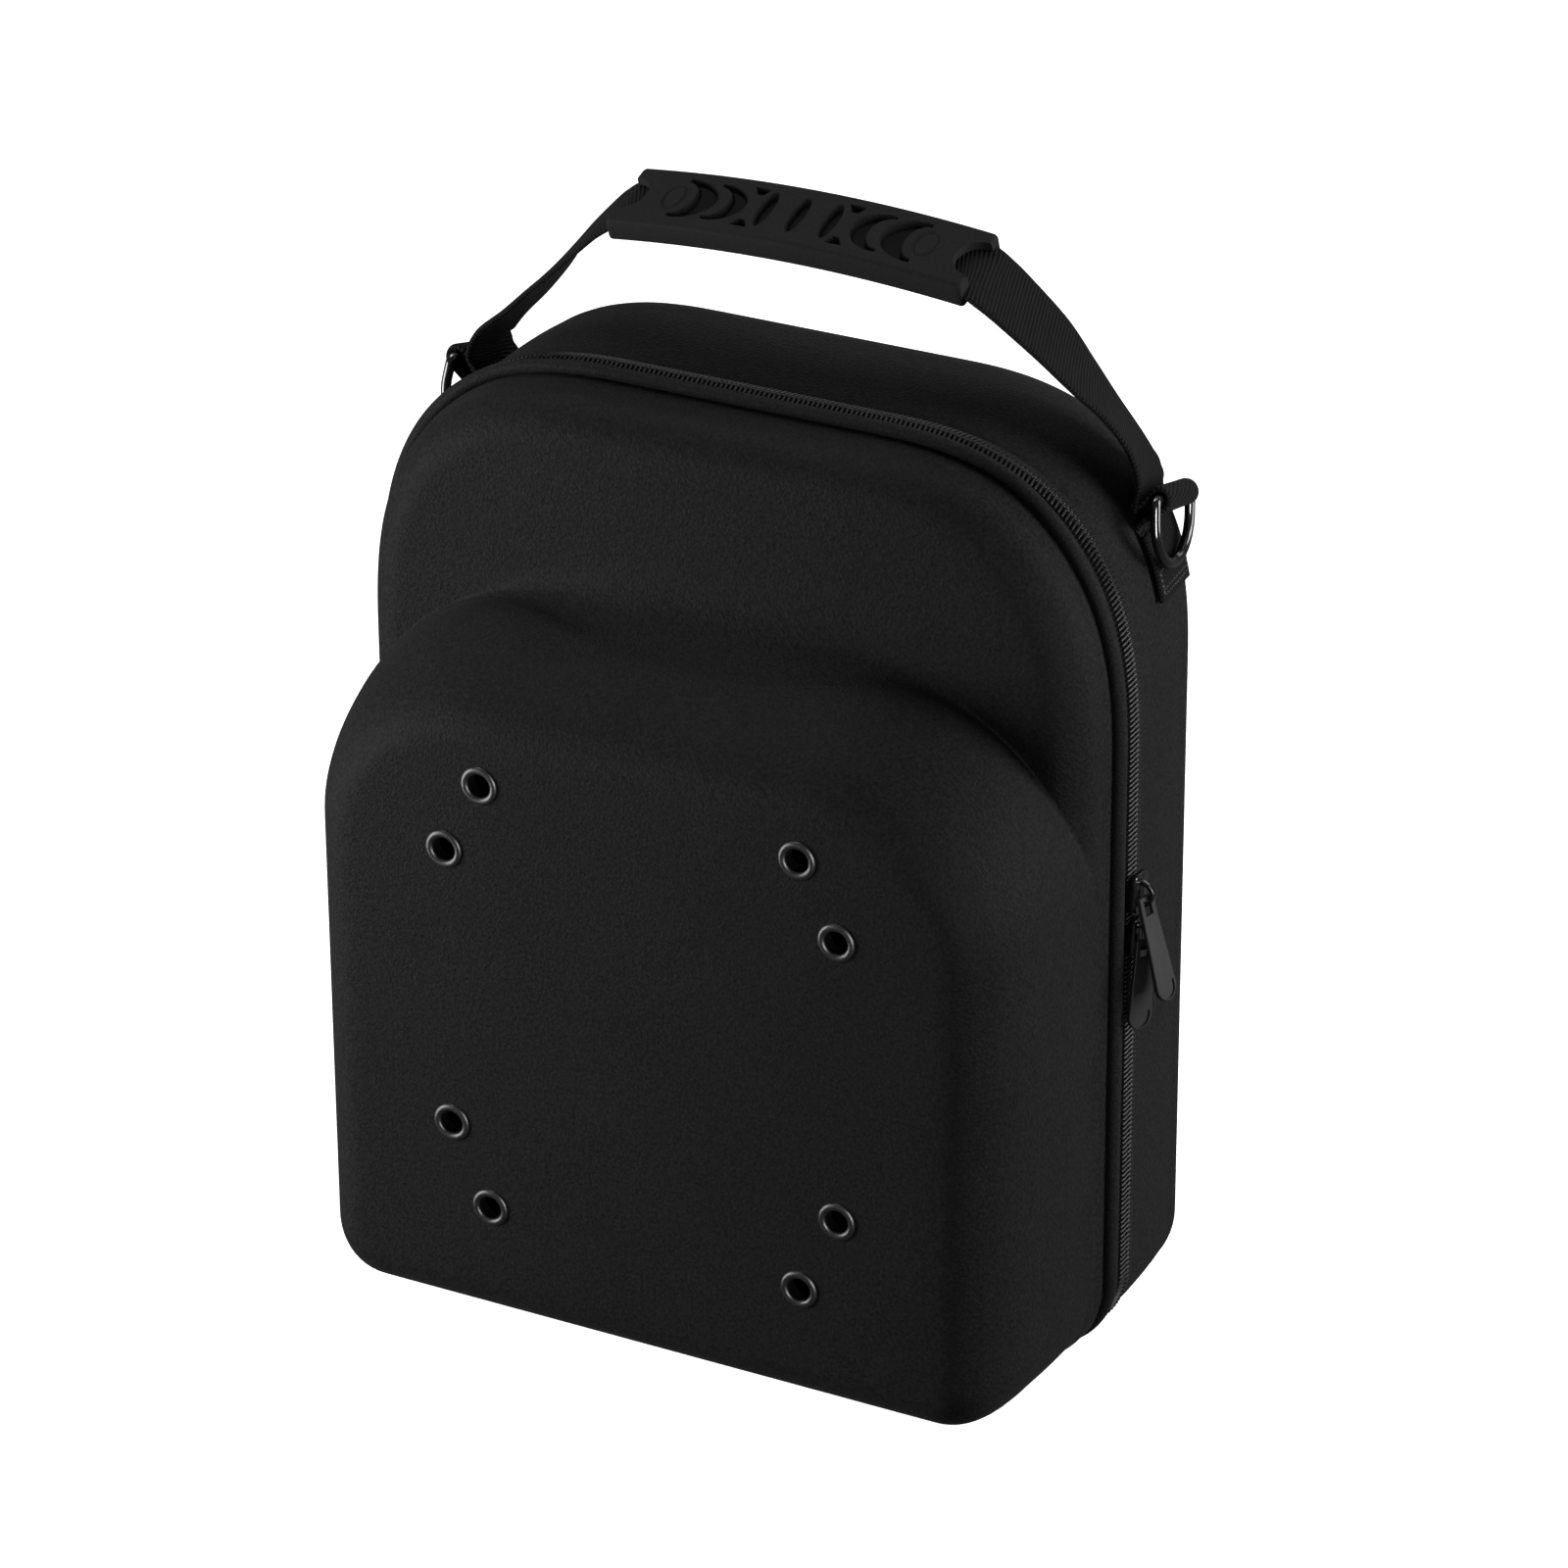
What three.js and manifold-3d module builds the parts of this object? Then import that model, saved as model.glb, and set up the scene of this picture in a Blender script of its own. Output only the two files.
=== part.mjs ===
// Cap carrier: a moulded case of two fabric-faced shells that meet at a zip, with a webbing carry handle.
// Millimetres, +Z up, the front looks along -Y. The origin is on the flat base, on the carrier's middle plane.
import * as THREE from 'three';
import { mergeVertices } from 'three/addons/utils/BufferGeometryUtils.js';
import Module from 'manifold-3d';

const MERGE_DISTANCE = 1e-4;

const wasm = await Module();
wasm.setup();

// The zip line, which every outline of the two shells is measured from
const HALF_WIDTH = 133.2;
const HEIGHT = 310;
const ZIP_BASE = 1.4;
const CORNER_X = 89.8;
const CORNER_Z = 97.5;
const CORNER_POWER = 2.6;
const FOOT_RADIUS = 29.9;
const FOOT_LEAST = 5;
const ZIP_Y = 20;

// Shell walls and the rims under the zip
const WALL = 4;
const RIM_GAP = 0.4;
const RIM_CUT = 1;
const FRONT_DEPTH = 80.4;
const BASE_EDGE_RADIUS = 14;
const REAR_EDGE_DEPTH = 46;
const REAR_EDGE_RADIUS = 23;
const EDGE_STEPS = 4;

// Front shell behind the bulge, from the rim to where its front edge starts to turn
const BASE_ROWS = [
  { depth: RIM_GAP, half: 129.6, top: 306.4, base: 5 },
  { depth: 9.9, half: 129.6, top: 306.4, base: 5 },
  { depth: 13.4, half: 129.4, top: 306.2, base: 0.6 },
  { depth: 16.5, half: 128.6, top: 305.4, base: 0.3 },
];

// The bulge that holds the crowns of the caps, from its hidden root to the flat front face
const BULGE_ROWS = [
  { depth: 14, half: 124, top: 232, base: 5 },
  { depth: 17, half: 128.3, top: 240, base: 0 },
  { depth: 30, half: 128, top: 240, base: 0 },
  { depth: 44, half: 126.9, top: 237, base: 0 },
  { depth: 56, half: 125.2, top: 233, base: 0 },
  { depth: 64, half: 123, top: 228.5, base: 0.5 },
  { depth: 71, half: 119.6, top: 224, base: 2.4 },
  { depth: 76.5, half: 114.6, top: 218.5, base: 6.4 },
  { depth: 79.6, half: 109, top: 212.5, base: 11.6 },
  { depth: FRONT_DEPTH, half: 102, top: 206, base: 18 },
];
const BULGE_CORNER_X = 74;
const BULGE_CORNER_Z = 66;
const BULGE_POWER = 2;
const BULGE_FOOT = 27;

// Rear shell, from the rim to where its back edge starts to turn
const REAR_ROWS = [
  { depth: RIM_GAP, half: 129.6, top: 306.4, base: 5 },
  { depth: 7, half: 129.6, top: 306.4, base: 5 },
  { depth: 11, half: 129.4, top: 307.6, base: 0.6 },
  { depth: 24, half: 128.6, top: 309.6, base: 0 },
  { depth: 36, half: 127.3, top: 310.2, base: 0 },
  { depth: REAR_EDGE_DEPTH, half: 125.6, top: 310, base: 0 },
];

// Eyelets on the front face: column and row of each corner pair
const EYELET_PLACES = [
  { corner: 'top', across: 56.2, up: 194.9, row: 'inner' },
  { corner: 'top', across: 69.7, up: 169.9, row: 'outer' },
  { corner: 'bottom', across: 69.7, up: 71.9, row: 'outer' },
  { corner: 'bottom', across: 56.2, up: 43.9, row: 'inner' },
];
const EYELET_RADIUS = 6.6;
const EYELET_BARREL = 4.8;
const EYELET_BORE = 3.9;
const EYELET_HOLE = 5.1;
const EYELET_CLEARANCE = 0.25;
const EYELET_LIP = 1;
const EYELET_SIDES = 14;
const EYELET_DRILL_LENGTH = 24;

// Zip: coil chain, tapes and the piping in front of them, across the zip line and outward from it
const CHAIN = { from: -3.2, to: 3.2, low: -2, high: 0 };
const FRONT_TAPE = { from: -4.8, to: -0.25, low: -3.3, high: -2.3 };
const REAR_TAPE = { from: 0.25, to: 6.5, low: -3.3, high: -2.3 };
const HINGE = { from: -4.8, to: 6.5, low: -3.3, high: -1.6 };
const PIPING = { across: -7.3, out: -1.1, radius: 2.2, sides: 6 };
const HINGE_LOW = 62;
const HINGE_HIGH = 205;
const HINGE_END_GAP = 0.4;
const LEFT_SIDE_BAND = 1;

// Two sliders on the right-hand run of the zip, and their pullers
const SLIDERS = [
  { name: 'upper', up: 166, tilt: 18 },
  { name: 'lower', up: 151, tilt: 3 },
];
const SLIDER_HALF_LENGTH = 6.8;
const SLIDER_HALF_WIDTH = 4.8;
const SLIDER_CORNER = 2.9;
const SLIDER_LIP = 1.3;
const SLIDER_LIP_LOW = -1.95;
const SLIDER_PLATE_LOW = 0.3;
const SLIDER_PLATE_HIGH = 1.9;
const BAIL_HALF_LENGTH = 4.6;
const BAIL_HEIGHT = 6.6;
const BAIL_HALF_WIDTH = 1.1;
const BAIL_WALL = 1.35;
const BAIL_FOOT = 0.5;
const BAIL_EYE_LIFT = 0.15;
const PLATE_SEGMENTS = 5;
const BAIL_SEGMENTS = 6;
const PULLER_AXIS_OUT = 3.25;
const PULLER_AXIS_UP = -0.9;
const PULLER_LENGTH = 34;
const PULLER_TOP_HALF = 3.3;
const PULLER_END_HALF = 4.4;
const PULLER_BAR = 0.8;
const PULLER_WINDOW_HALF = 1.8;
const PULLER_WINDOW_END = 5.4;

// Carry handle: webbing sewn to both sides of the rear shell, folded round a ring's bar, then up to the grip.
// Yaw turns the webbing's near edge outward and tilt lifts its far edge, both in degrees.
const STRAP_Y = 39;
const STRAP_WIDTH = 25;
const STRAP_THICKNESS = 2;
const STRAP_SEAT = 1.55;
const TAB_HEIGHTS = [252.5, 256, 262, 268, 273];
const TAB_YAW = 5.7;
const BAR = { across: 124.7, up: 283.9, yaw: 3, tilt: -15 };
const LOOP_RADIUS = 3.15;
const LOOP_RISE = 32;
const LOOP_STEPS = 8;
const LOOP_FOOT = [
  { across: 119.05, depth: 38.9, up: 275, yaw: 5, tilt: -2 },
  { across: 119.9, depth: 38.7, up: 276.6, yaw: 4.5, tilt: -5 },
  { across: 121.5, depth: 38.3, up: 277.9, yaw: 4, tilt: -9 },
  { across: 123.8, depth: 37.9, up: 279.6, yaw: 3.5, tilt: -13 },
];
const LOOP_HEAD = [
  { across: 121, depth: 39.1, up: 284.2, yaw: 3, tilt: -14 },
  { across: 119, depth: 38.9, up: 281.9, yaw: 3, tilt: -12 },
  { across: 117.3, depth: 38.9, up: 281.1, yaw: 3, tilt: -9 },
];

// The webbing's two runs from the fold up to the grip, which hang a little differently
const ARCHES = {
  right: [
    { across: 116.2, depth: 39, up: 282, yaw: 3.5, tilt: -7 },
    { across: 116.2, depth: 38.4, up: 286.2, yaw: 7, tilt: -6.5 },
    { across: 115.5, depth: 37.4, up: 292.7, yaw: 13, tilt: -6.7 },
    { across: 111.7, depth: 36.1, up: 301.5, yaw: 17, tilt: -7.4 },
    { across: 104.6, depth: 34.8, up: 310.8, yaw: 16, tilt: -5.5 },
    { across: 95.9, depth: 33.4, up: 320.2, yaw: 10.5, tilt: 2 },
    { across: 85.9, depth: 31.9, up: 331.1, yaw: 4.5, tilt: 9.5 },
    { across: 74.2, depth: 30.4, up: 341.4, yaw: 2, tilt: 15 },
    { across: 67.2, depth: 29.7, up: 346.7, yaw: 0.5, tilt: 17.5 },
  ],
  left: [
    { across: 116.8, depth: 39, up: 282.2, yaw: 3.5, tilt: -7 },
    { across: 118.2, depth: 38.6, up: 285.4, yaw: 3, tilt: -6 },
    { across: 118.6, depth: 37.9, up: 289.8, yaw: 4, tilt: -5 },
    { across: 113.6, depth: 36.7, up: 297.9, yaw: 8, tilt: -2.6 },
    { across: 103.8, depth: 35.4, up: 307.4, yaw: 6.8, tilt: 1.4 },
    { across: 93.8, depth: 33.8, up: 318.2, yaw: 3.3, tilt: 4.5 },
    { across: 84.1, depth: 32.2, up: 329.4, yaw: -2, tilt: 11 },
    { across: 73, depth: 30.6, up: 340.8, yaw: -2, tilt: 15 },
    { across: 66.8, depth: 29.8, up: 346.4, yaw: -0.5, tilt: 17.5 },
  ],
};

// Moulded grip on the middle of the webbing
const GRIP_HALF_LENGTH = 62.5;
const GRIP_WIDTH = 28;
const GRIP_THICKNESS = 8.8;
const GRIP_CHAMFER = 2.2;
const GRIP_DEPTH = 28.55;
const GRIP_UP = 354.2;
const GRIP_TILT = 18;
const GRIP_SAG = 4.3;
const GRIP_STATIONS = 14;
const GRIP_NOTCH = 8.6;
const GRIP_NOTCH_SIDES = 16;
const SLOT_ARCH_STOPS = 3;
const GRIP_CLEARANCE = 0.4;
const GRIP_STOPS = [60, 50, 38, 25, 12, 0];

// Metal rings in the webbing loops
const RING_WIRE = 1.7;
const RING_HALF_WIDTH = 14.7;
const RING_DROP = 21;
const RING_CORNER = 2;
const RING_CORNER_STEPS = 2;
const RING_SIDES = 6;
const RING_ARC_STEPS = 10;
const RING_LEAN = 6.5;

const COLOURS = {
  fabric: { color: 0x1b1b1c, roughness: 0.85, metalness: 0 },
  webbing: { color: 0x202021, roughness: 0.8, metalness: 0 },
  tape: { color: 0x18181a, roughness: 0.85, metalness: 0 },
  coil: { color: 0x222224, roughness: 0.45, metalness: 0 },
  rubber: { color: 0x262627, roughness: 0.7, metalness: 0 },
  metal: { color: 0x1d1d1f, roughness: 0.3, metalness: 0.8 },
};

const carrier = new THREE.Group();
const zipFrame = new THREE.Group();
zipFrame.position.y = ZIP_Y;
carrier.add(zipFrame);

function addMesh(parent, name, geometry, look) {
  const mesh = new THREE.Mesh(geometry, new THREE.MeshStandardMaterial(COLOURS[look]));
  mesh.name = name;
  parent.add(mesh);
  return mesh;
}

// Solids from closed geometry and back
function toSolid(geometry) {
  const bare = new THREE.BufferGeometry();
  bare.setAttribute('position', geometry.getAttribute('position').clone());
  if (geometry.index) bare.setIndex(geometry.index.clone());
  const merged = mergeVertices(bare, MERGE_DISTANCE);
  const vertProperties = new Float32Array(merged.getAttribute('position').array);
  const triVerts = new Uint32Array(merged.index.array);
  return new wasm.Manifold(new wasm.Mesh({ numProp: 3, vertProperties, triVerts }));
}

function toGeometry(solid) {
  const mesh = solid.getMesh();
  const geometry = new THREE.BufferGeometry();
  geometry.setAttribute('position', new THREE.BufferAttribute(new Float32Array(mesh.vertProperties), 3));
  geometry.setIndex(new THREE.BufferAttribute(new Uint32Array(mesh.triVerts), 1));
  geometry.computeVertexNormals();
  return geometry;
}

// A closed body through rings of points; the first and last rings are capped unless the run is a loop
function skin(rings, looped = false) {
  const count = rings[0].length;
  const points = rings.flat();
  const faces = [];
  const last = looped ? rings.length : rings.length - 1;
  for (let r = 0; r < last; r += 1) {
    const next = (r + 1) % rings.length;
    for (let i = 0; i < count; i += 1) {
      const j = (i + 1) % count;
      const corners = [r * count + i, r * count + j, next * count + j, next * count + i];
      faces.push([corners[0], corners[1], corners[2]], [corners[0], corners[2], corners[3]]);
    }
  }
  if (!looped) {
    for (const end of [0, rings.length - 1]) {
      const centre = new THREE.Vector3();
      rings[end].forEach((point) => centre.addScaledVector(point, 1 / count));
      points.push(centre);
      for (let i = 0; i < count; i += 1) {
        const edge = [end * count + i, end * count + ((i + 1) % count)];
        faces.push(end === 0 ? [edge[1], edge[0], points.length - 1] : [edge[0], edge[1], points.length - 1]);
      }
    }
  }
  const volume = faces.reduce((sum, [a, b, c]) => {
    const normal = new THREE.Vector3().crossVectors(points[b], points[c]);
    return sum + points[a].dot(normal);
  }, 0);
  const ordered = volume < 0 ? faces.map(([a, b, c]) => [a, c, b]) : faces;
  const geometry = new THREE.BufferGeometry().setFromPoints(points);
  geometry.setIndex(ordered.flat());
  return geometry;
}

// Outline of the case in X and Z: flat base, round feet, straight sides and rounded shoulders
function outline({ half, top, base, cornerX, cornerZ, foot, power }) {
  const right = [];
  const add = (x, z) => right.push([x, z]);
  const baseSteps = 2;
  const footSteps = 4;
  const sideSteps = 3;
  const cornerSteps = 8;
  const topSteps = 3;
  for (let i = 0; i < baseSteps; i += 1) add(((half - foot) * i) / baseSteps, base);
  for (let i = 0; i <= footSteps; i += 1) {
    const turn = (i / footSteps) * (Math.PI / 2);
    add(half - foot + foot * Math.sin(turn), base + foot - foot * Math.cos(turn));
  }
  const sideLow = base + foot;
  const sideHigh = top - cornerZ;
  for (let i = 1; i < sideSteps; i += 1) add(half, sideLow + ((sideHigh - sideLow) * i) / sideSteps);
  for (let i = 0; i <= cornerSteps; i += 1) {
    const turn = (i / cornerSteps) * (Math.PI / 2);
    const x = half - cornerX + cornerX * Math.cos(turn) ** (2 / power);
    add(x, sideHigh + cornerZ * Math.sin(turn) ** (2 / power));
  }
  for (let i = 1; i < topSteps; i += 1) add((half - cornerX) * (1 - i / topSteps), top);
  add(0, top);
  const left = right.slice(1, -1).reverse().map(([x, z]) => [-x, z]);
  return right.concat(left);
}

// Corner sizes that go with a row of the shells or of the bulge
function shellRow({ depth, half, top, base }) {
  const inset = HALF_WIDTH - half;
  const foot = Math.max(FOOT_RADIUS - inset, FOOT_LEAST);
  const corners = { cornerX: CORNER_X - inset, cornerZ: CORNER_Z - inset, foot };
  return { depth, half, top, base, power: CORNER_POWER, ...corners };
}

function bulgeRow({ depth, half, top, base }) {
  const inset = BULGE_ROWS[1].half - half;
  const corners = { cornerX: BULGE_CORNER_X - inset, cornerZ: BULGE_CORNER_Z - inset, foot: BULGE_FOOT - inset };
  return { depth, half, top, base, power: BULGE_POWER, ...corners };
}

function insetRow(row, amount, depth = row.depth) {
  const { half, top, base } = row;
  return { depth, half: half - amount, top: top - amount, base: base + amount };
}

// Rows that carry a shell's last row round an edge of the given radius
function edgeRows(row, radius) {
  const rows = [];
  for (let i = 1; i <= EDGE_STEPS; i += 1) {
    const turn = (i / EDGE_STEPS) * (Math.PI / 2);
    rows.push(insetRow(row, radius * (1 - Math.cos(turn)), row.depth + radius * Math.sin(turn)));
  }
  return rows;
}

// A solid through rows of outlines, with depth running towards -Y (side -1) or +Y (side 1)
function loft(rows, side) {
  const rings = rows.map((row) => outline(row).map(([x, z]) => new THREE.Vector3(x, side * row.depth, z)));
  return toSolid(skin(rings));
}

// The hollow of a shell: its rows drawn in by the wall, open through the rim
function hollowRows(rows, edgeRadius) {
  const inner = rows.map((row) => insetRow(row, WALL));
  inner[0].depth = -RIM_CUT;
  const lastRow = inner[inner.length - 1];
  return inner.concat(edgeRows(lastRow, edgeRadius - WALL));
}

function eyeletCentres() {
  return EYELET_PLACES.flatMap(({ corner, across, up, row }) => [
    { name: `eyelet_${corner}_left_${row}`, x: -across, z: up },
    { name: `eyelet_${corner}_right_${row}`, x: across, z: up },
  ]);
}

function frontShell() {
  const edge = edgeRows(BASE_ROWS[BASE_ROWS.length - 1], BASE_EDGE_RADIUS);
  const base = loft(BASE_ROWS.concat(edge).map(shellRow), -1);
  const bulge = loft(BULGE_ROWS.map(bulgeRow), -1);
  const baseHollow = loft(hollowRows(BASE_ROWS, BASE_EDGE_RADIUS).map(shellRow), -1);
  const bulgeHollow = loft(BULGE_ROWS.map((row) => {
    const drawnIn = row.depth - WALL * (row.depth / FRONT_DEPTH) ** 2;
    return bulgeRow(insetRow(row, WALL, drawnIn));
  }), -1);
  let shell = base.add(bulge).subtract(baseHollow).subtract(bulgeHollow);
  for (const { x, z } of eyeletCentres()) {
    const drill = new THREE.CylinderGeometry(EYELET_HOLE, EYELET_HOLE, EYELET_DRILL_LENGTH, EYELET_SIDES);
    drill.translate(x, -FRONT_DEPTH, z);
    shell = shell.subtract(toSolid(drill));
  }
  return toGeometry(shell);
}

function rearShell() {
  const edge = edgeRows(REAR_ROWS[REAR_ROWS.length - 1], REAR_EDGE_RADIUS);
  const outer = loft(REAR_ROWS.concat(edge).map(shellRow), 1);
  const hollow = loft(hollowRows(REAR_ROWS, REAR_EDGE_RADIUS).map(shellRow), 1);
  return toGeometry(outer.subtract(hollow));
}

// Eyelet turned about the axis of its hole: a rolled front lip, a barrel and a washer inside
function eyelet() {
  const back = WALL + EYELET_CLEARANCE;
  const front = -EYELET_CLEARANCE;
  const roll = EYELET_LIP / 2;
  const profile = [
    [EYELET_BORE, front - roll],
    [EYELET_BARREL, front - EYELET_LIP],
    [EYELET_RADIUS - roll, front - EYELET_LIP],
    [EYELET_RADIUS, front - roll],
    [EYELET_RADIUS - roll, front],
    [EYELET_BARREL, front],
    [EYELET_BARREL, back],
    [EYELET_RADIUS - 2 * roll, back],
    [EYELET_RADIUS - 2 * roll, back + roll],
    [EYELET_BORE, back + roll],
    [EYELET_BORE, front - roll],
  ];
  const points = profile.map(([radius, along]) => new THREE.Vector2(radius, along));
  return toGeometry(toSolid(new THREE.LatheGeometry(points, EYELET_SIDES)));
}

// The zip line as points with outward normals, from the base centre round by the right
function zipLine() {
  const corners = { cornerX: CORNER_X, cornerZ: CORNER_Z, foot: FOOT_RADIUS, power: CORNER_POWER };
  const flat = outline({ half: HALF_WIDTH, top: HEIGHT, base: ZIP_BASE, ...corners });
  return flat.map(([x, z], i) => {
    const before = flat[(i + flat.length - 1) % flat.length];
    const after = flat[(i + 1) % flat.length];
    const along = new THREE.Vector2(after[0] - before[0], after[1] - before[1]).normalize();
    return { x, z, outX: along.y, outZ: -along.x };
  });
}

// A section drawn across the zip line (Y) and outward from it, set at one point of the line
function sectionAt(point, section) {
  return section.map(([across, out]) => new THREE.Vector3(
    point.x + out * point.outX,
    across,
    point.z + out * point.outZ,
  ));
}

function boxSection({ from, to, low, high }) {
  return [[from, low], [to, low], [to, high], [from, high]];
}

function pipingRing() {
  const section = Array.from({ length: PIPING.sides }, (_, i) => {
    const turn = ((i + 0.5) / PIPING.sides) * 2 * Math.PI;
    return [PIPING.across + PIPING.radius * Math.cos(turn), PIPING.out + PIPING.radius * Math.sin(turn)];
  });
  return skin(zipLine().map((point) => sectionAt(point, section)), true);
}

// Runs of the zip line: the zip goes from the hinge's lower end round by the right to its upper end
function splitLine() {
  const line = zipLine();
  const onLeft = ({ x }) => x < -HALF_WIDTH + LEFT_SIDE_BAND;
  const start = line.findIndex(onLeft);
  const ordered = line.slice(start).concat(line.slice(0, start));
  const leftSide = (z) => ({ x: -HALF_WIDTH, z, outX: -1, outZ: 0 });
  const isHinge = (point) => onLeft(point) && point.z > HINGE_LOW && point.z < HINGE_HIGH;
  const offHinge = ordered.filter((point) => !isHinge(point));
  const low = offHinge.findIndex((point) => !onLeft(point) || point.z < HINGE_LOW);
  const zipRun = offHinge.slice(low).concat(offHinge.slice(0, low));
  const zip = [leftSide(HINGE_LOW), ...zipRun, leftSide(HINGE_HIGH)];
  const hinge = [leftSide(HINGE_LOW + HINGE_END_GAP), leftSide(HINGE_HIGH - HINGE_END_GAP)];
  return { zip, hinge };
}

function zipBand(run, size) {
  return skin(run.map((point) => sectionAt(point, boxSection(size))));
}

// Shapes drawn in two axes and given a thickness along the third
function extrudeAlongX(shape, from, to) {
  const size = { depth: to - from, bevelEnabled: false, curveSegments: PLATE_SEGMENTS };
  const geometry = new THREE.ExtrudeGeometry(shape, size);
  const turn = new THREE.Matrix4().makeBasis(
    new THREE.Vector3(0, 1, 0),
    new THREE.Vector3(0, 0, 1),
    new THREE.Vector3(1, 0, 0),
  );
  return geometry.applyMatrix4(turn).translate(from, 0, 0);
}

function extrudeAlongY(shape, from, to) {
  const size = { depth: to - from, bevelEnabled: false, curveSegments: BAIL_SEGMENTS };
  const geometry = new THREE.ExtrudeGeometry(shape, size);
  const turn = new THREE.Matrix4().makeBasis(
    new THREE.Vector3(0, 0, 1),
    new THREE.Vector3(1, 0, 0),
    new THREE.Vector3(0, 1, 0),
  );
  return geometry.applyMatrix4(turn).translate(0, from, 0);
}

// Slider in its own frame: X outward, Y across the zip, Z along it
function slider() {
  const plate = new THREE.Shape();
  const wide = SLIDER_HALF_WIDTH;
  const long = SLIDER_HALF_LENGTH;
  const straight = long - SLIDER_CORNER;
  plate.moveTo(-wide, -straight);
  plate.quadraticCurveTo(-wide, -long, 0, -long);
  plate.quadraticCurveTo(wide, -long, wide, -straight);
  plate.lineTo(wide, straight);
  plate.quadraticCurveTo(wide, long, 0, long);
  plate.quadraticCurveTo(-wide, long, -wide, straight);
  let body = toSolid(extrudeAlongX(plate, SLIDER_PLATE_LOW, SLIDER_PLATE_HIGH));
  const lipHeight = SLIDER_PLATE_HIGH - SLIDER_LIP_LOW;
  const lipLength = 2 * straight;
  for (const side of [-1, 1]) {
    const lip = new THREE.BoxGeometry(lipHeight, SLIDER_LIP, lipLength);
    lip.translate(SLIDER_LIP_LOW + lipHeight / 2, side * (wide - SLIDER_LIP / 2), 0);
    body = body.add(toSolid(lip));
  }
  const bail = new THREE.Shape();
  const rise = BAIL_HEIGHT - SLIDER_PLATE_HIGH;
  bail.moveTo(BAIL_HALF_LENGTH, SLIDER_PLATE_HIGH - BAIL_FOOT);
  bail.lineTo(BAIL_HALF_LENGTH, SLIDER_PLATE_HIGH);
  bail.absellipse(0, SLIDER_PLATE_HIGH, BAIL_HALF_LENGTH, rise, 0, Math.PI, false, 0);
  bail.lineTo(-BAIL_HALF_LENGTH, SLIDER_PLATE_HIGH - BAIL_FOOT);
  const eye = new THREE.Path();
  const eyeLow = SLIDER_PLATE_HIGH + BAIL_EYE_LIFT;
  eye.moveTo(BAIL_HALF_LENGTH - BAIL_WALL, eyeLow);
  eye.absellipse(0, eyeLow, BAIL_HALF_LENGTH - BAIL_WALL, rise - BAIL_WALL, 0, Math.PI, false, 0);
  bail.holes.push(eye);
  return toGeometry(body.add(toSolid(extrudeAlongY(bail, -BAIL_HALF_WIDTH, BAIL_HALF_WIDTH))));
}

// Puller hanging from its bar at the origin: an eye, a plate that widens downwards and a round end
function puller() {
  const shape = new THREE.Shape();
  const roundFrom = -PULLER_LENGTH + PULLER_END_HALF;
  shape.moveTo(-PULLER_TOP_HALF, PULLER_BAR);
  shape.lineTo(-PULLER_END_HALF, roundFrom);
  shape.absarc(0, roundFrom, PULLER_END_HALF, Math.PI, 2 * Math.PI, false);
  shape.lineTo(PULLER_TOP_HALF, PULLER_BAR);
  const window = new THREE.Path();
  window.moveTo(-PULLER_WINDOW_HALF, -PULLER_BAR);
  window.lineTo(PULLER_WINDOW_HALF, -PULLER_BAR);
  window.lineTo(PULLER_WINDOW_HALF, -PULLER_WINDOW_END);
  window.lineTo(-PULLER_WINDOW_HALF, -PULLER_WINDOW_END);
  shape.holes.push(window);
  return toGeometry(toSolid(extrudeAlongX(shape, -PULLER_BAR, PULLER_BAR)));
}

// Where the rear shell's right-hand side lies at one depth behind the zip and one height
function rearSideX(depth, z) {
  const after = REAR_ROWS.findIndex((row) => row.depth > depth);
  const [near, far] = [REAR_ROWS[after - 1], REAR_ROWS[after]];
  const share = (depth - near.depth) / (far.depth - near.depth);
  const half = near.half + share * (far.half - near.half);
  const top = near.top + share * (far.top - near.top);
  const { cornerX, cornerZ } = shellRow({ depth, half, top, base: 0 });
  const climb = Math.max(0, (z - top + cornerZ) / cornerZ);
  return half - cornerX + cornerX * (1 - climb ** CORNER_POWER) ** (1 / CORNER_POWER);
}

// A place on the grip: x across, a lift off its middle surface and a shift along the webbing's width
function gripPoint(x, lift, shift = 0) {
  const tilt = THREE.MathUtils.degToRad(GRIP_TILT);
  const rise = lift - GRIP_SAG * (x / GRIP_HALF_LENGTH) ** 2;
  return new THREE.Vector3(
    x,
    GRIP_DEPTH - rise * Math.sin(tilt) + shift * Math.cos(tilt),
    GRIP_UP + rise * Math.cos(tilt) + shift * Math.sin(tilt),
  );
}

// The direction across the webbing, towards its far edge
function acrossBand(yawDegrees, tiltDegrees) {
  const yaw = THREE.MathUtils.degToRad(yawDegrees);
  const tilt = THREE.MathUtils.degToRad(tiltDegrees);
  return new THREE.Vector3(-Math.sin(yaw) * Math.cos(tilt), Math.cos(yaw) * Math.cos(tilt), Math.sin(tilt));
}

// Stations of the webbing: a point of its middle line, with the yaw and tilt of its width
function archStations(arch) {
  return arch.map(({ across, depth, up, yaw, tilt }) => {
    return { point: new THREE.Vector3(across, depth, up), yaw, tilt };
  });
}

function gripStations() {
  return GRIP_STOPS.map((x) => ({ point: gripPoint(x, 0), yaw: 0, tilt: GRIP_TILT }));
}

function mirrored(stations) {
  return stations.map(({ point, yaw, tilt }) => {
    return { point: new THREE.Vector3(-point.x, point.y, point.z), yaw: -yaw, tilt };
  });
}

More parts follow.
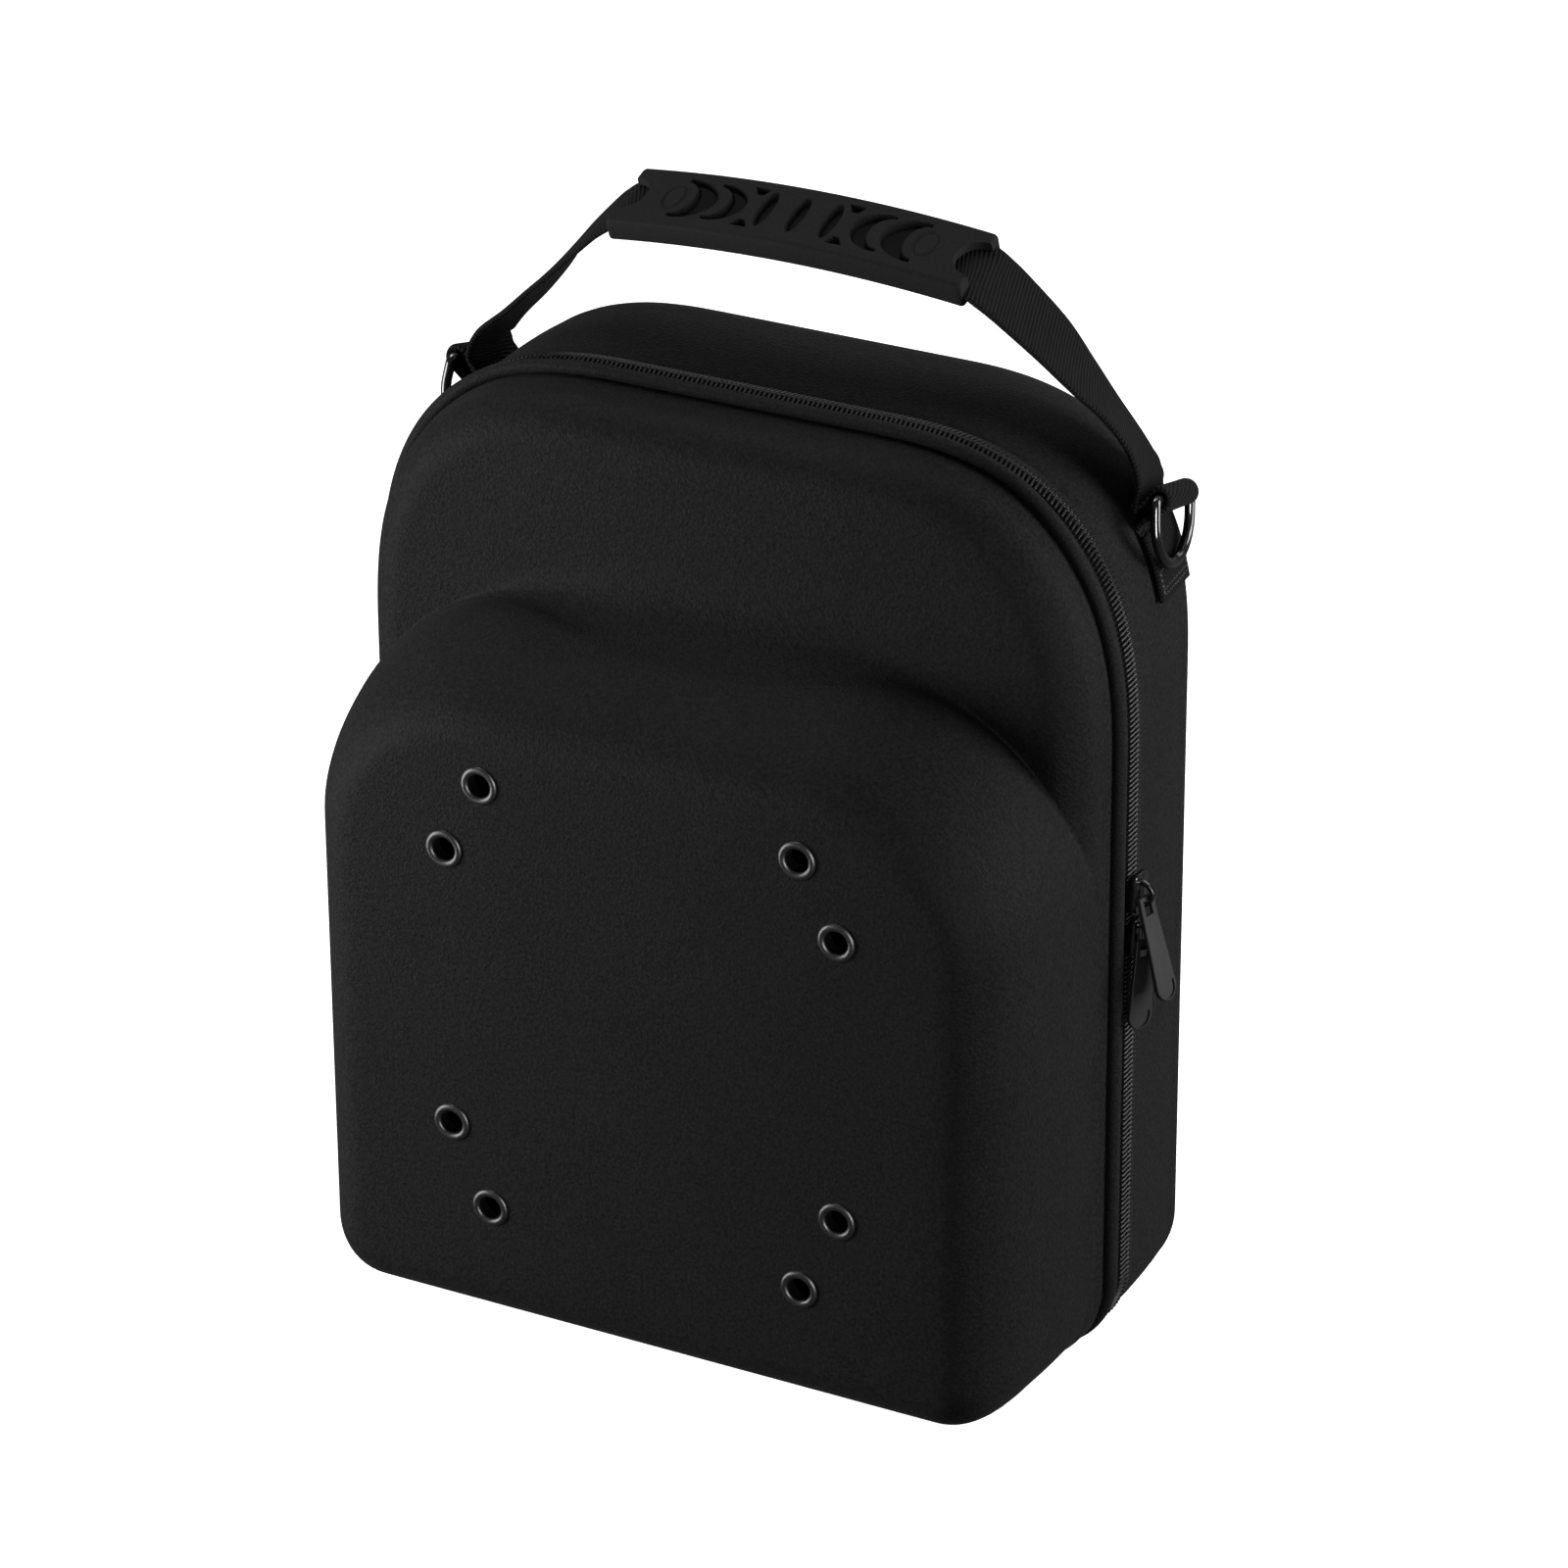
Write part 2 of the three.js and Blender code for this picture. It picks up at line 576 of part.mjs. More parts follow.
// The webbing on the case's right side: the sewn tab and the fold round the ring's bar
function foldStations() {
  const seatX = (z) => {
    const x = rearSideX(STRAP_Y, z);
    const slope = rearSideX(STRAP_Y, z - 1) - x;
    return x + STRAP_SEAT * Math.hypot(1, slope);
  };
  const tab = TAB_HEIGHTS.map((up) => ({ across: seatX(up), depth: STRAP_Y, up, yaw: TAB_YAW, tilt: 0 }));
  const centre = new THREE.Vector3(BAR.across, STRAP_Y, BAR.up);
  const bar = acrossBand(BAR.yaw, BAR.tilt);
  const out = new THREE.Vector3(1, 0, 0).addScaledVector(bar, -bar.x).normalize();
  const rise = new THREE.Vector3().crossVectors(out, bar);
  const loop = [];
  for (let i = 0; i <= LOOP_STEPS; i += 1) {
    const turn = THREE.MathUtils.degToRad(LOOP_RISE - 90 + (180 * i) / LOOP_STEPS);
    const point = centre.clone()
      .addScaledVector(out, LOOP_RADIUS * Math.cos(turn))
      .addScaledVector(rise, LOOP_RADIUS * Math.sin(turn));
    loop.push({ point, yaw: BAR.yaw, tilt: BAR.tilt });
  }
  return [
    ...archStations(tab.concat(LOOP_FOOT)),
    ...loop,
    ...archStations(LOOP_HEAD),
  ];
}

// A flat band along stations
function ribbon(stations, width, thickness) {
  const rings = stations.map(({ point, yaw, tilt }, i) => {
    const before = stations[Math.max(0, i - 1)].point;
    const after = stations[Math.min(stations.length - 1, i + 1)].point;
    const along = new THREE.Vector3().subVectors(after, before).normalize();
    const across = acrossBand(yaw, tilt);
    across.addScaledVector(along, -across.dot(along)).normalize();
    const out = new THREE.Vector3().crossVectors(along, across);
    return [[-1, -1], [1, -1], [1, 1], [-1, 1]].map(([a, b]) => point.clone()
      .addScaledVector(across, (a * width) / 2)
      .addScaledVector(out, (b * thickness) / 2));
  });
  return skin(rings);
}

function handleStrap() {
  const fold = foldStations();
  const right = [...fold, ...archStations(ARCHES.right), ...gripStations()];
  const left = [...fold, ...archStations(ARCHES.left), ...gripStations().slice(0, -1)];
  return ribbon([...mirrored(left), ...right.reverse()], STRAP_WIDTH, STRAP_THICKNESS);
}

// Grip: a chamfered bar bent over the webbing, slotted for it, with a round notch in the top at each end
function handleGrip() {
  const halfWidth = GRIP_WIDTH / 2;
  const halfThick = GRIP_THICKNESS / 2;
  const section = [
    [-halfWidth, -halfThick + GRIP_CHAMFER], [-halfWidth + GRIP_CHAMFER, -halfThick],
    [halfWidth - GRIP_CHAMFER, -halfThick], [halfWidth, -halfThick + GRIP_CHAMFER],
    [halfWidth, halfThick - GRIP_CHAMFER], [halfWidth - GRIP_CHAMFER, halfThick],
    [-halfWidth + GRIP_CHAMFER, halfThick], [-halfWidth, halfThick - GRIP_CHAMFER],
  ];
  const bar = [];
  for (let i = 0; i <= GRIP_STATIONS; i += 1) {
    const x = GRIP_HALF_LENGTH * ((2 * i) / GRIP_STATIONS - 1);
    bar.push(section.map(([shift, lift]) => gripPoint(x, lift, shift)));
  }
  const slotRight = [...archStations(ARCHES.right.slice(-SLOT_ARCH_STOPS)), ...gripStations()];
  const slotLeft = [...archStations(ARCHES.left.slice(-SLOT_ARCH_STOPS)), ...gripStations().slice(0, -1)];
  const slotLine = [...mirrored(slotLeft), ...slotRight.reverse()];
  const slotWidth = STRAP_WIDTH + 2 * GRIP_CLEARANCE;
  const slotThickness = STRAP_THICKNESS + 2 * GRIP_CLEARANCE;
  let grip = toSolid(skin(bar)).subtract(toSolid(ribbon(slotLine, slotWidth, slotThickness)));
  for (const side of [-1, 1]) {
    const notch = [0, GRIP_THICKNESS].map((lift) => {
      const round = [];
      for (let i = 0; i < GRIP_NOTCH_SIDES; i += 1) {
        const turn = (i / GRIP_NOTCH_SIDES) * 2 * Math.PI;
        const x = side * GRIP_HALF_LENGTH + GRIP_NOTCH * Math.cos(turn);
        round.push(gripPoint(x, lift, GRIP_NOTCH * Math.sin(turn)));
      }
      return round;
    });
    grip = grip.subtract(toSolid(skin(notch)));
  }
  return toGeometry(grip);
}

// Ring in its own frame: a straight bar along Y at the origin and a round bow that hangs below it
function ring() {
  const line = [];
  const arc = (centreY, centreZ, radius, from, to, steps) => {
    for (let i = 0; i <= steps; i += 1) {
      const turn = from + ((to - from) * i) / steps;
      line.push(new THREE.Vector3(0, centreY + radius * Math.cos(turn), centreZ + radius * Math.sin(turn)));
    }
  };
  const barHalf = RING_HALF_WIDTH - RING_CORNER;
  arc(barHalf, -RING_CORNER, RING_CORNER, Math.PI / 2, 0, RING_CORNER_STEPS);
  arc(0, -RING_DROP + RING_HALF_WIDTH, RING_HALF_WIDTH, 0, -Math.PI, RING_ARC_STEPS);
  arc(-barHalf, -RING_CORNER, RING_CORNER, Math.PI, Math.PI / 2, RING_CORNER_STEPS);
  const rings = line.map((point, i) => {
    const before = line[(i + line.length - 1) % line.length];
    const after = line[(i + 1) % line.length];
    const along = new THREE.Vector3().subVectors(after, before).normalize();
    const side = new THREE.Vector3(1, 0, 0);
    const out = new THREE.Vector3().crossVectors(along, side);
    return Array.from({ length: RING_SIDES }, (_, k) => {
      const turn = (k / RING_SIDES) * 2 * Math.PI;
      return point.clone()
        .addScaledVector(side, RING_WIRE * Math.cos(turn))
        .addScaledVector(out, RING_WIRE * Math.sin(turn));
    });
  });
  return skin(rings, true);
}

addMesh(zipFrame, 'front_shell', frontShell(), 'fabric');
addMesh(zipFrame, 'rear_shell', rearShell(), 'fabric');
addMesh(zipFrame, 'front_piping', pipingRing(), 'fabric');

const eyeletGeometry = eyelet();
for (const { name, x, z } of eyeletCentres()) {
  addMesh(zipFrame, name, eyeletGeometry, 'metal').position.set(x, -FRONT_DEPTH, z);
}

const runs = splitLine();
addMesh(zipFrame, 'zip_chain', zipBand(runs.zip, CHAIN), 'coil');
addMesh(zipFrame, 'zip_tape_front', zipBand(runs.zip, FRONT_TAPE), 'tape');
addMesh(zipFrame, 'zip_tape_rear', zipBand(runs.zip, REAR_TAPE), 'tape');
addMesh(zipFrame, 'hinge_strip', zipBand(runs.hinge, HINGE), 'tape');

const sliderGeometry = slider();
const pullerGeometry = puller();
for (const { name, up, tilt } of SLIDERS) {
  const slide = new THREE.Group();
  slide.position.set(HALF_WIDTH, 0, up);
  zipFrame.add(slide);
  addMesh(slide, `slider_${name}`, sliderGeometry, 'metal');
  const tab = addMesh(slide, `puller_${name}`, pullerGeometry, 'metal');
  tab.position.set(PULLER_AXIS_OUT, 0, PULLER_AXIS_UP);
  tab.rotation.y = -THREE.MathUtils.degToRad(tilt);
}

addMesh(zipFrame, 'handle_strap', handleStrap(), 'webbing');
addMesh(zipFrame, 'handle_grip', handleGrip(), 'rubber');

const ringGeometry = ring();
for (const [name, side] of [['left', -1], ['right', 1]]) {
  const mesh = addMesh(zipFrame, `ring_${name}`, ringGeometry, 'metal');
  mesh.position.set(side * BAR.across, STRAP_Y, BAR.up);
  const [lean, tilt, yaw] = [-side * RING_LEAN, BAR.tilt, side * BAR.yaw].map(THREE.MathUtils.degToRad);
  mesh.rotation.set(tilt, lean, yaw, 'ZXY');
}

export default carrier;
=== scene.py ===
# Cap carrier: the looks of a moulded zip case, its webbing handle and its metal parts.
# Sizes are in millimetres until a mesh is made. Depths are measured from the zip's plane, at Y = ZIP_Y.
import math

import bmesh
import bpy
import numpy as np
from mathutils import Matrix, Vector


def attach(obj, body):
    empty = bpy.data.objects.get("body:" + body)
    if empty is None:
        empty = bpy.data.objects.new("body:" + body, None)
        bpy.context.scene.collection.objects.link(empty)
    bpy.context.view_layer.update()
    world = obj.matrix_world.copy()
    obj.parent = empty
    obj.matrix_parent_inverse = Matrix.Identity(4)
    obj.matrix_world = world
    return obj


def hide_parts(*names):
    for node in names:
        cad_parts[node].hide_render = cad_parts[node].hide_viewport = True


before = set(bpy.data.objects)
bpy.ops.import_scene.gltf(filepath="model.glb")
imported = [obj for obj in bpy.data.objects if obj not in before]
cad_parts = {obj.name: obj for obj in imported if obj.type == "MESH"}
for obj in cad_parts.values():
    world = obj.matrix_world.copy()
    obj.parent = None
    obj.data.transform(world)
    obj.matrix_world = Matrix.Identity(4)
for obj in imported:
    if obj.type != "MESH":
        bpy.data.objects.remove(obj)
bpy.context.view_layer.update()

MM = 0.001
TINY = 1e-9
# Points nearer than this are one place, in millimetres or, in a finished mesh, in metres
SAME_PLACE = 1e-6

# Angle between faces from which an edge shows as sharp, in degrees
SHARP = 40.0
MOULDED_SHARP = 50.0
PLATE_SHARP = 15.0
WEBBING_SHARP = 60.0
GRIP_SHARP = 35.0

# The zip line and the two shells, as in the solids
HALF_WIDTH = 133.2
HEIGHT = 310.0
ZIP_BASE = 1.4
CORNER_X = 89.8
CORNER_Z = 97.5
CORNER_POWER = 2.6
FOOT_RADIUS = 29.9
FOOT_LEAST = 5.0
ZIP_Y = 20.0
WALL = 4.0
FRONT_DEPTH = 80.4
BASE_EDGE_RADIUS = 14.0
REAR_EDGE_RADIUS = 23.0

# Rows of the shells: depth, half width, top and base
BASE_ROWS = np.array([
    (0.4, 129.6, 306.4, 5.0),
    (9.9, 129.6, 306.4, 5.0),
    (13.4, 129.4, 306.2, 0.6),
    (16.5, 128.6, 305.4, 0.3),
])
BULGE_ROWS = np.array([
    (17.0, 128.3, 239.0, 0.0),
    (30.0, 128.0, 239.2, 0.0),
    (38.0, 127.5, 239.2, 0.0),
    (46.0, 126.6, 237.4, 0.0),
    (56.0, 125.2, 233.0, 0.0),
    (64.0, 123.0, 228.5, 0.5),
    (71.0, 119.6, 224.0, 2.4),
    (76.5, 114.6, 218.5, 6.4),
    (79.6, 109.0, 212.5, 11.6),
    (80.4, 102.0, 206.0, 18.0),
])
BULGE_AHEAD = np.array((80.4, 92.0, 196.0, 28.0))
BULGE_CORNER_X = 74.0
BULGE_CORNER_Z = 66.0
BULGE_POWER = 2.0
BULGE_FOOT = 27.0
REAR_ROWS = np.array([
    (0.4, 129.6, 306.4, 5.0),
    (7.0, 129.6, 306.4, 5.0),
    (11.0, 129.4, 307.6, 0.6),
    (24.0, 128.6, 309.6, 0.0),
    (36.0, 127.3, 310.2, 0.0),
    (46.0, 125.6, 310.0, 0.0),
])
FACE_CENTRE_Z = 118.0

# Points on each stretch of an outline, and how many times finer a guide line is
FLAT_POINTS = 16
FOOT_POINTS = 16
SIDE_POINTS = 24
CORNER_POINTS = 56
CROWN_POINTS = 12
GUIDE_DENSITY = 6

# Steps of the shells' grids; the inner wall has every third ring of the outer one
HALF_RING = 200
BASE_RINGS = 12
EDGE_RINGS = 14
LEDGE_STEPS = 20
LEDGE_RINGS = 34
CREASE_RINGS = 12
BULGE_STEPS = 8
BULGE_RINGS = 40
FACE_RINGS = 14
REAR_STEPS = 6
INNER_STEP = 3

# The crease where the bulge leaves the shell: sharp out at the sides, a broad cove in the middle
CREASE_SHARP_X = 98.0
CREASE_SOFT_X = 15.0
CREASE_SHARP = 1.2
CREASE_SOFT = 22.0
# The most that the crease takes of the ledge and of the bulge's front
CREASE_LEDGE_SHARE = 0.85
CREASE_FRONT_SHARE = 0.6
# How close the ledge's last point and the bulge's first one may come to where they meet
MEETING_SHARE = 0.02
MEETING_CLEARANCE = 0.05

# Eyelets: distance from the middle, height
EYELETS = {
    "top_inner": (56.2, 194.9),
    "top_outer": (69.7, 169.9),
    "bottom_outer": (69.7, 71.9),
    "bottom_inner": (56.2, 43.9),
}
EYELET_HOLE = 5.0
EYELET_SIDES = 48
DRILL_AHEAD = 10.0
DRILL_BEHIND = 12.0
DRILL_SIDES = 40
# Rolled lip of an eyelet, and its barrel and back washer as (radius, depth behind the face)
LIP_TURN = (-20.0, 200.0)
LIP_POINTS = 12
LIP_RADIUS = 5.25
LIP_HALF_WIDTH = 1.35
LIP_HEIGHT = 1.1
LIP_SINK = 0.05
EYELET_BARREL = ((4.4, 1.0), (4.4, 4.6), (5.5, 4.6), (5.5, 4.3), (4.75, 4.3), (4.75, 0.2))

# Zip: teeth, tapes, piping and hinge, across the zip line and outward from it
ZIP_HALF_WIDTH = 132.8
ZIP_SIDE_TOLERANCE = 0.5
TANGENT_STEP = 0.6
TOOTH_PITCH = 1.7
TOOTH_REACH = 4.3
TOOTH_OVERLAP = 0.7
TOOTH_RADIUS = 0.5
TOOTH_SLANT = 0.2
TOOTH_SIDES = 8
TOOTH_MARGIN = 1.0
# Stations from a tooth's root to its head: across the zip line, out of it, and share of the radius
TOOTH_STATIONS = np.array([
    (-TOOTH_REACH, -1.45, 0.3),
    (-TOOTH_REACH + 0.2, -1.2, 0.8),
    (-2.8, -0.95, 1.0),
    (-1.2, -0.78, 0.95),
    (TOOTH_OVERLAP - 0.9, -0.62, 1.0),
    (TOOTH_OVERLAP - 0.35, -0.52, 1.15),
    (TOOTH_OVERLAP - 0.08, -0.62, 0.9),
    (TOOTH_OVERLAP, -0.8, 0.4),
])
# The piping's place over the top and along the sides: across the zip line, out of it, and radius
PIPING_TOP = np.array((-7.3, -1.1, 2.2))
PIPING_SIDE = np.array((-9.0, -2.5, 2.7))
# How far the zip line faces sideways where the piping starts to change place, and over what span
PIPING_TURN = 0.3
PIPING_TURN_SPAN = 0.6
PIPING_STEPS = 560
PIPING_SIDES = 18
# Tapes and hinge cloth: their sides across the zip line, lower and upper faces, and edge radius
TAPES = {"front": (-4.8, -0.25), "rear": (0.25, 6.5)}
TAPE_UNDER = -3.3
TAPE_OVER = -2.0
TAPE_EDGE = 0.35
TAPE_STEPS = 620
HINGE_OVER = -1.4
HINGE_EDGE = 0.6
HINGE_GAP = 0.4
HINGE_STEPS = 60
HINGE_LOW = 62.0
HINGE_HIGH = 205.0
BOX_CORNER_STEPS = 3

# Height of each slider, and its puller's lean, twist round its length, swing to the front, and length
SLIDERS = {"upper": (166.0, 17.0, 10.0, 3.0, 34.0), "lower": (151.0, 3.0, 22.0, 7.0, 29.5)}
PULLER_AXIS_OUT = 3.75
PULLER_AXIS_UP = -0.9
PULLER_SHIFT = -1.2

# Thickness and edge radius of the flat metal pieces
SLIDER_PLATE = (1.7, 0.5)
LIP_PLATE = (3.4, 0.3)
BAIL_PLATE = (2.2, 0.4)
EYE_PLATE = (1.5, 0.35)
PULLER_PLATE = (1.7, 0.45)
SCOOP_PLATE = (0.9, 0.2)
# Places of a slider's body and lips from the zip line
SLIDER_PLACE = np.array((1.1, 0.0, 0.0))
LIP_PLACE = np.array((-0.2, 4.1, -0.2))
# Arcs of a slider: centre across and along, radius across and along
SLIDER_NOSE = (0.0, -3.2, 4.6, 3.6)
SLIDER_NEAR_CORNER = (2.4, 4.4, 2.4, 2.4)
SLIDER_FAR_CORNER = (-2.4, 4.4, 2.4, 2.4)
BAIL_OUTSIDE = (0.0, 1.7, 4.6, 4.9)
BAIL_INSIDE = (0.0, 1.9, 3.1, 3.4)
# Straight outlines: half width and place of the upper end, then of the lower end
LIP_OUTLINE = (0.65, 4.2, 0.65, -4.4)
EYE_OUTLINE = (3.4, 0.8, 3.8, -8.0)
EYE_WINDOW = (1.8, -0.8, 1.8, -5.4)
# A puller's neck as half width and place, its round end as half width and reach, and its finger dish
PULLER_NECK = (3.75, -6.6)
PULLER_END = (4.8, 4.6)
DISH_RADIUS = 3.7
DISH_DROP = 0.2
DISH_EDGE = (-1.2, 1.6)
DISH_OUT = 0.75

# Handle webbing: yaw turns its near edge outward and tilt lifts its far edge, both in degrees
STRAP_Y = 39.0
STRAP_WIDTH = 25.0
STRAP_THICKNESS = 2.0
STRAP_SEAT = 1.55
STRAP_STEPS = 8
STRAP_PITCH = 0.7
STRAP_SPANS = 10
TAB_HEIGHTS = (252.5, 256.0, 262.0, 268.0, 273.0)
TAB_YAW = 5.7
BAR_PLACE = np.array((124.7, STRAP_Y, 283.9))
BAR_YAW = 3.0
BAR_TILT = -15.0
LOOP_RADIUS = 3.15
LOOP_RISE = 32.0
LOOP_STEPS = 8

# Rows of the webbing round the ring's bar and up to the grip: across, depth, up, yaw and tilt
LOOP_FOOT = (
    (119.05, 38.9, 275.0, 5.0, -2.0),
    (119.9, 38.7, 276.6, 4.5, -5.0),
    (121.5, 38.3, 277.9, 4.0, -9.0),
    (123.8, 37.9, 279.6, 3.5, -13.0),
)
LOOP_HEAD = (
    (121.0, 39.1, 284.2, 3.0, -14.0),
    (119.0, 38.9, 281.9, 3.0, -12.0),
    (117.3, 38.9, 281.1, 3.0, -9.0),
)
RIGHT_ARCH = (
    (116.2, 39.0, 282.0, 3.5, -7.0),
    (116.2, 38.4, 286.2, 7.0, -6.5),
    (115.5, 37.4, 292.7, 13.0, -6.7),
    (111.7, 36.1, 301.5, 17.0, -7.4),
    (104.6, 34.8, 310.8, 16.0, -5.5),
    (95.9, 33.4, 320.2, 10.5, 2.0),
    (85.9, 31.9, 331.1, 4.5, 9.5),
    (74.2, 30.4, 341.4, 2.0, 15.0),
    (67.2, 29.7, 346.7, 0.5, 17.5),
)
LEFT_ARCH = (
    (116.8, 39.0, 282.2, 3.5, -7.0),
    (118.2, 38.6, 285.4, 3.0, -6.0),
    (118.6, 37.9, 289.8, 4.0, -5.0),
    (113.6, 36.7, 297.9, 8.0, -2.6),
    (103.8, 35.4, 307.4, 6.8, 1.4),
    (93.8, 33.8, 318.2, 3.3, 4.5),
    (84.1, 32.2, 329.4, -2.0, 11.0),
    (73.0, 30.6, 340.8, -2.0, 15.0),
    (66.8, 29.8, 346.4, -0.5, 17.5),
)

# Grip
GRIP_HALF_LENGTH = 62.5
GRIP_HALF_WIDTH = 14.0
GRIP_HALF_THICK = 4.4
GRIP_CORNER = 1.8
GRIP_DEPTH = 28.55
GRIP_UP = 354.2
GRIP_TILT = 18.0
GRIP_SAG = 4.3
GRIP_NOTCH = 8.6
GRIP_STOPS = (60.0, 50.0, 38.0, 25.0, 12.0, 0.0)
GRIP_CLEARANCE = 0.4
GRIP_TOP_POINTS = 62
GRIP_BASE_POINTS = 10
GRIP_CORNER_STEPS = 5
GRIP_MIDDLE_STOPS = 300
GRIP_END = 1.8
# Rows that round the grip's ends: distance from the end, and how far the section is drawn in
GRIP_END_ROWS = np.array([(0.0, 1.2), (0.25, 0.5), (0.7, 0.15), (1.3, 0.0)])
# The webbing's slot reaches past the grip's ends and starts this far above the rings' bars
SLOT_REACH = 14.0
SLOT_RISE = 40.0
SLOT_STEPS = 4
SLOT_SPANS = 4
NOTCH_BEYOND = 0.6
NOTCH_LIFT = 12.0
NOTCH_SIDES = 48

# Pattern let into the grip's top, the same on both halves: slots as places, and half sizes
PATTERN_SLOTS = (0.0, 11.4)
PATTERN_SLOT_HALF = (2.0, 7.3)
# Crescents: tip, outer edge, thickness, and reach to each side
CRESCENTS = ((41.5, 29.4, 7.4, 9.2), (29.6, 19.0, 5.4, 8.6))
CRESCENT_SHIFT = 1.0
CRESCENT_NARROWING = 0.93
CRESCENT_CUT = 0.8
# Small wedges by the slots: place, half length, inner and outer edges, and slope of the ends
WEDGE_PLACE = 16.6
WEDGE_HALF = 2.3
WEDGE_EDGES = (6.6, 9.2)
WEDGE_SLOPE = 0.55
# Button near each end as place and half sizes, with a groove round it
BUTTON = (44.2, 3.3, 5.6)
GROOVE_DEPTH = 0.45
GROOVE_HALF_WIDTH = 0.55
# Depth of the pattern, the span that its walls slope over, and their share of it at the outline
RECESS = 2.3
RECESS_SPAN = 0.7
RECESS_AT_EDGE = 0.6

# Stitches on the tabs: rows across at three heights, and a seam up each side
STITCH_HEIGHTS = (254.7, 256.4, 262.0)
STITCH_ROW_HALF = 10.5
STITCH_ROW_POINTS = 11
STITCH_SEAM = 10.6
STITCH_SEAM_STEP = 1.8
STITCH_LENGTH = 1.75
STITCH_RADIUS = 0.28
STITCH_SIDES = 6
# Stations along a stitch: share of its length, share of its radius, and lift in diameters
STITCH_STATIONS = (
    (-0.5, 0.25, -0.2),
    (-0.3, 0.9, 0.12),
    (0.0, 1.0, 0.2),
    (0.3, 0.9, 0.12),
    (0.5, 0.25, -0.2),
)

# Rings in the webbing loops
RING_WIRE = 1.7
RING_HALF_WIDTH = 14.7
RING_DROP = 21.0
RING_CORNER = 2.0
RING_LEAN = 6.5
RING_CORNER_STEPS = 6
RING_BOW_STEPS = 48
RING_BAR_POINTS = 12
WIRE_SIDES = 14

# Camera: the photograph's view, in millimetres and degrees
CAMERA_AIM = np.array((8.65, 20.0, 175.37))
CAMERA_AZIMUTH = 28.2
CAMERA_ELEVATION = 26.04
CAMERA_ROLL = 0.31
CAMERA_DISTANCE = 2172.16
CAMERA_LENS = 156.5
CAMERA_SENSOR = 36.0

# Stage, in metres and watts
CAMERA_REACH = 60.0
WORLD_STRENGTH = 0.12
FLOOR_REACH = 12.0
FLOOR_DROP = 0.0002
FLOOR_TONE = 0.9
FLOOR_GLOW = 0.95
# Lights: place, aim, width and height, power, and whether it shows in reflections alone
LIGHTS = {
    "left_front": ((-0.62, -0.42, 0.13), (-0.08, -0.05, 0.11), (0.4, 0.6), 10.8, False),
    "edge_right": ((0.7, -0.8, 0.19), (0.1, -0.05, 0.15), (0.2, 0.7), 22.0, True),
    "edge_top": ((-0.5, 0.05, 1.3), (0.0, 0.0, 0.28), (0.5, 0.5), 9.0, True),
    "right": ((1.05, 0.35, 0.48), (0.1, 0.03, 0.15), (0.5, 1.0), 16.0, False),
    "top": ((0.0, 0.3, 1.6), (0.0, 0.03, 0.3), (1.0, 1.0), 2.8, False),
    "back": ((0.1, 1.1, 1.0), (0.0, 0.03, 0.3), (1.2, 0.3), 2.8, False),
}

# Materials: a faint blue in the light tones, the speckle's grain and the patches' share of the fabric,
# the slant of the webbing's ribs in degrees, and the tone of the painted shade on the floors of the grip's
# recesses
BLUE_TINT = 1.02
SPECKLE_GRAIN = 0.7
PATCH_SHARE = 0.12
RIB_SLANT = 20.0
RECESS_SHADE_TONE = 0.0015


# Materials
def new_material(name, roughness, metallic=0.0, specular=0.5, sheen=0.0):
    material = bpy.data.materials.new(name)
    material.use_nodes = True
    nodes = material.node_tree.nodes
    shader = nodes["Principled BSDF"]
    shader.inputs["Roughness"].default_value = roughness
    shader.inputs["Metallic"].default_value = metallic
    shader.inputs["Specular IOR Level"].default_value = specular
    shader.inputs["Sheen Weight"].default_value = sheen
    shader.inputs["Sheen Roughness"].default_value = 0.4
    return material, shader


def add_node(material, kind, links=(), **values):
    """A node with its plain properties and sockets set, and (output, input) links made into it."""
    node = material.node_tree.nodes.new(kind)
    for key, value in values.items():
        if key in node.inputs:
            node.inputs[key].default_value = value
        else:
            setattr(node, key, value)
    for source, target in links:
        material.node_tree.links.new(source, node.inputs[target])
    return node


def set_tone(material, shader, factor, low, high, dark, light):
    """A base colour from dark to light, as a factor goes from low to high."""
    node = add_node(material, "ShaderNodeValToRGB", [(factor, "Fac")])
    first, last = node.color_ramp.elements
    first.position = low
    last.position = high
    first.color = (dark, dark, dark, 1)
    last.color = (light, light, light * BLUE_TINT, 1)
    material.node_tree.links.new(node.outputs["Color"], shader.inputs["Base Color"])


def set_bump(material, shader, height, strength, distance, base=None):
    bump = add_node(material, "ShaderNodeBump", [(height, "Height")], Strength=strength, Distance=distance)
    links = material.node_tree.links
    if base is not None:
        links.new(base.outputs["Normal"], bump.inputs["Normal"])
    links.new(bump.outputs["Normal"], shader.inputs["Normal"])
    return bump


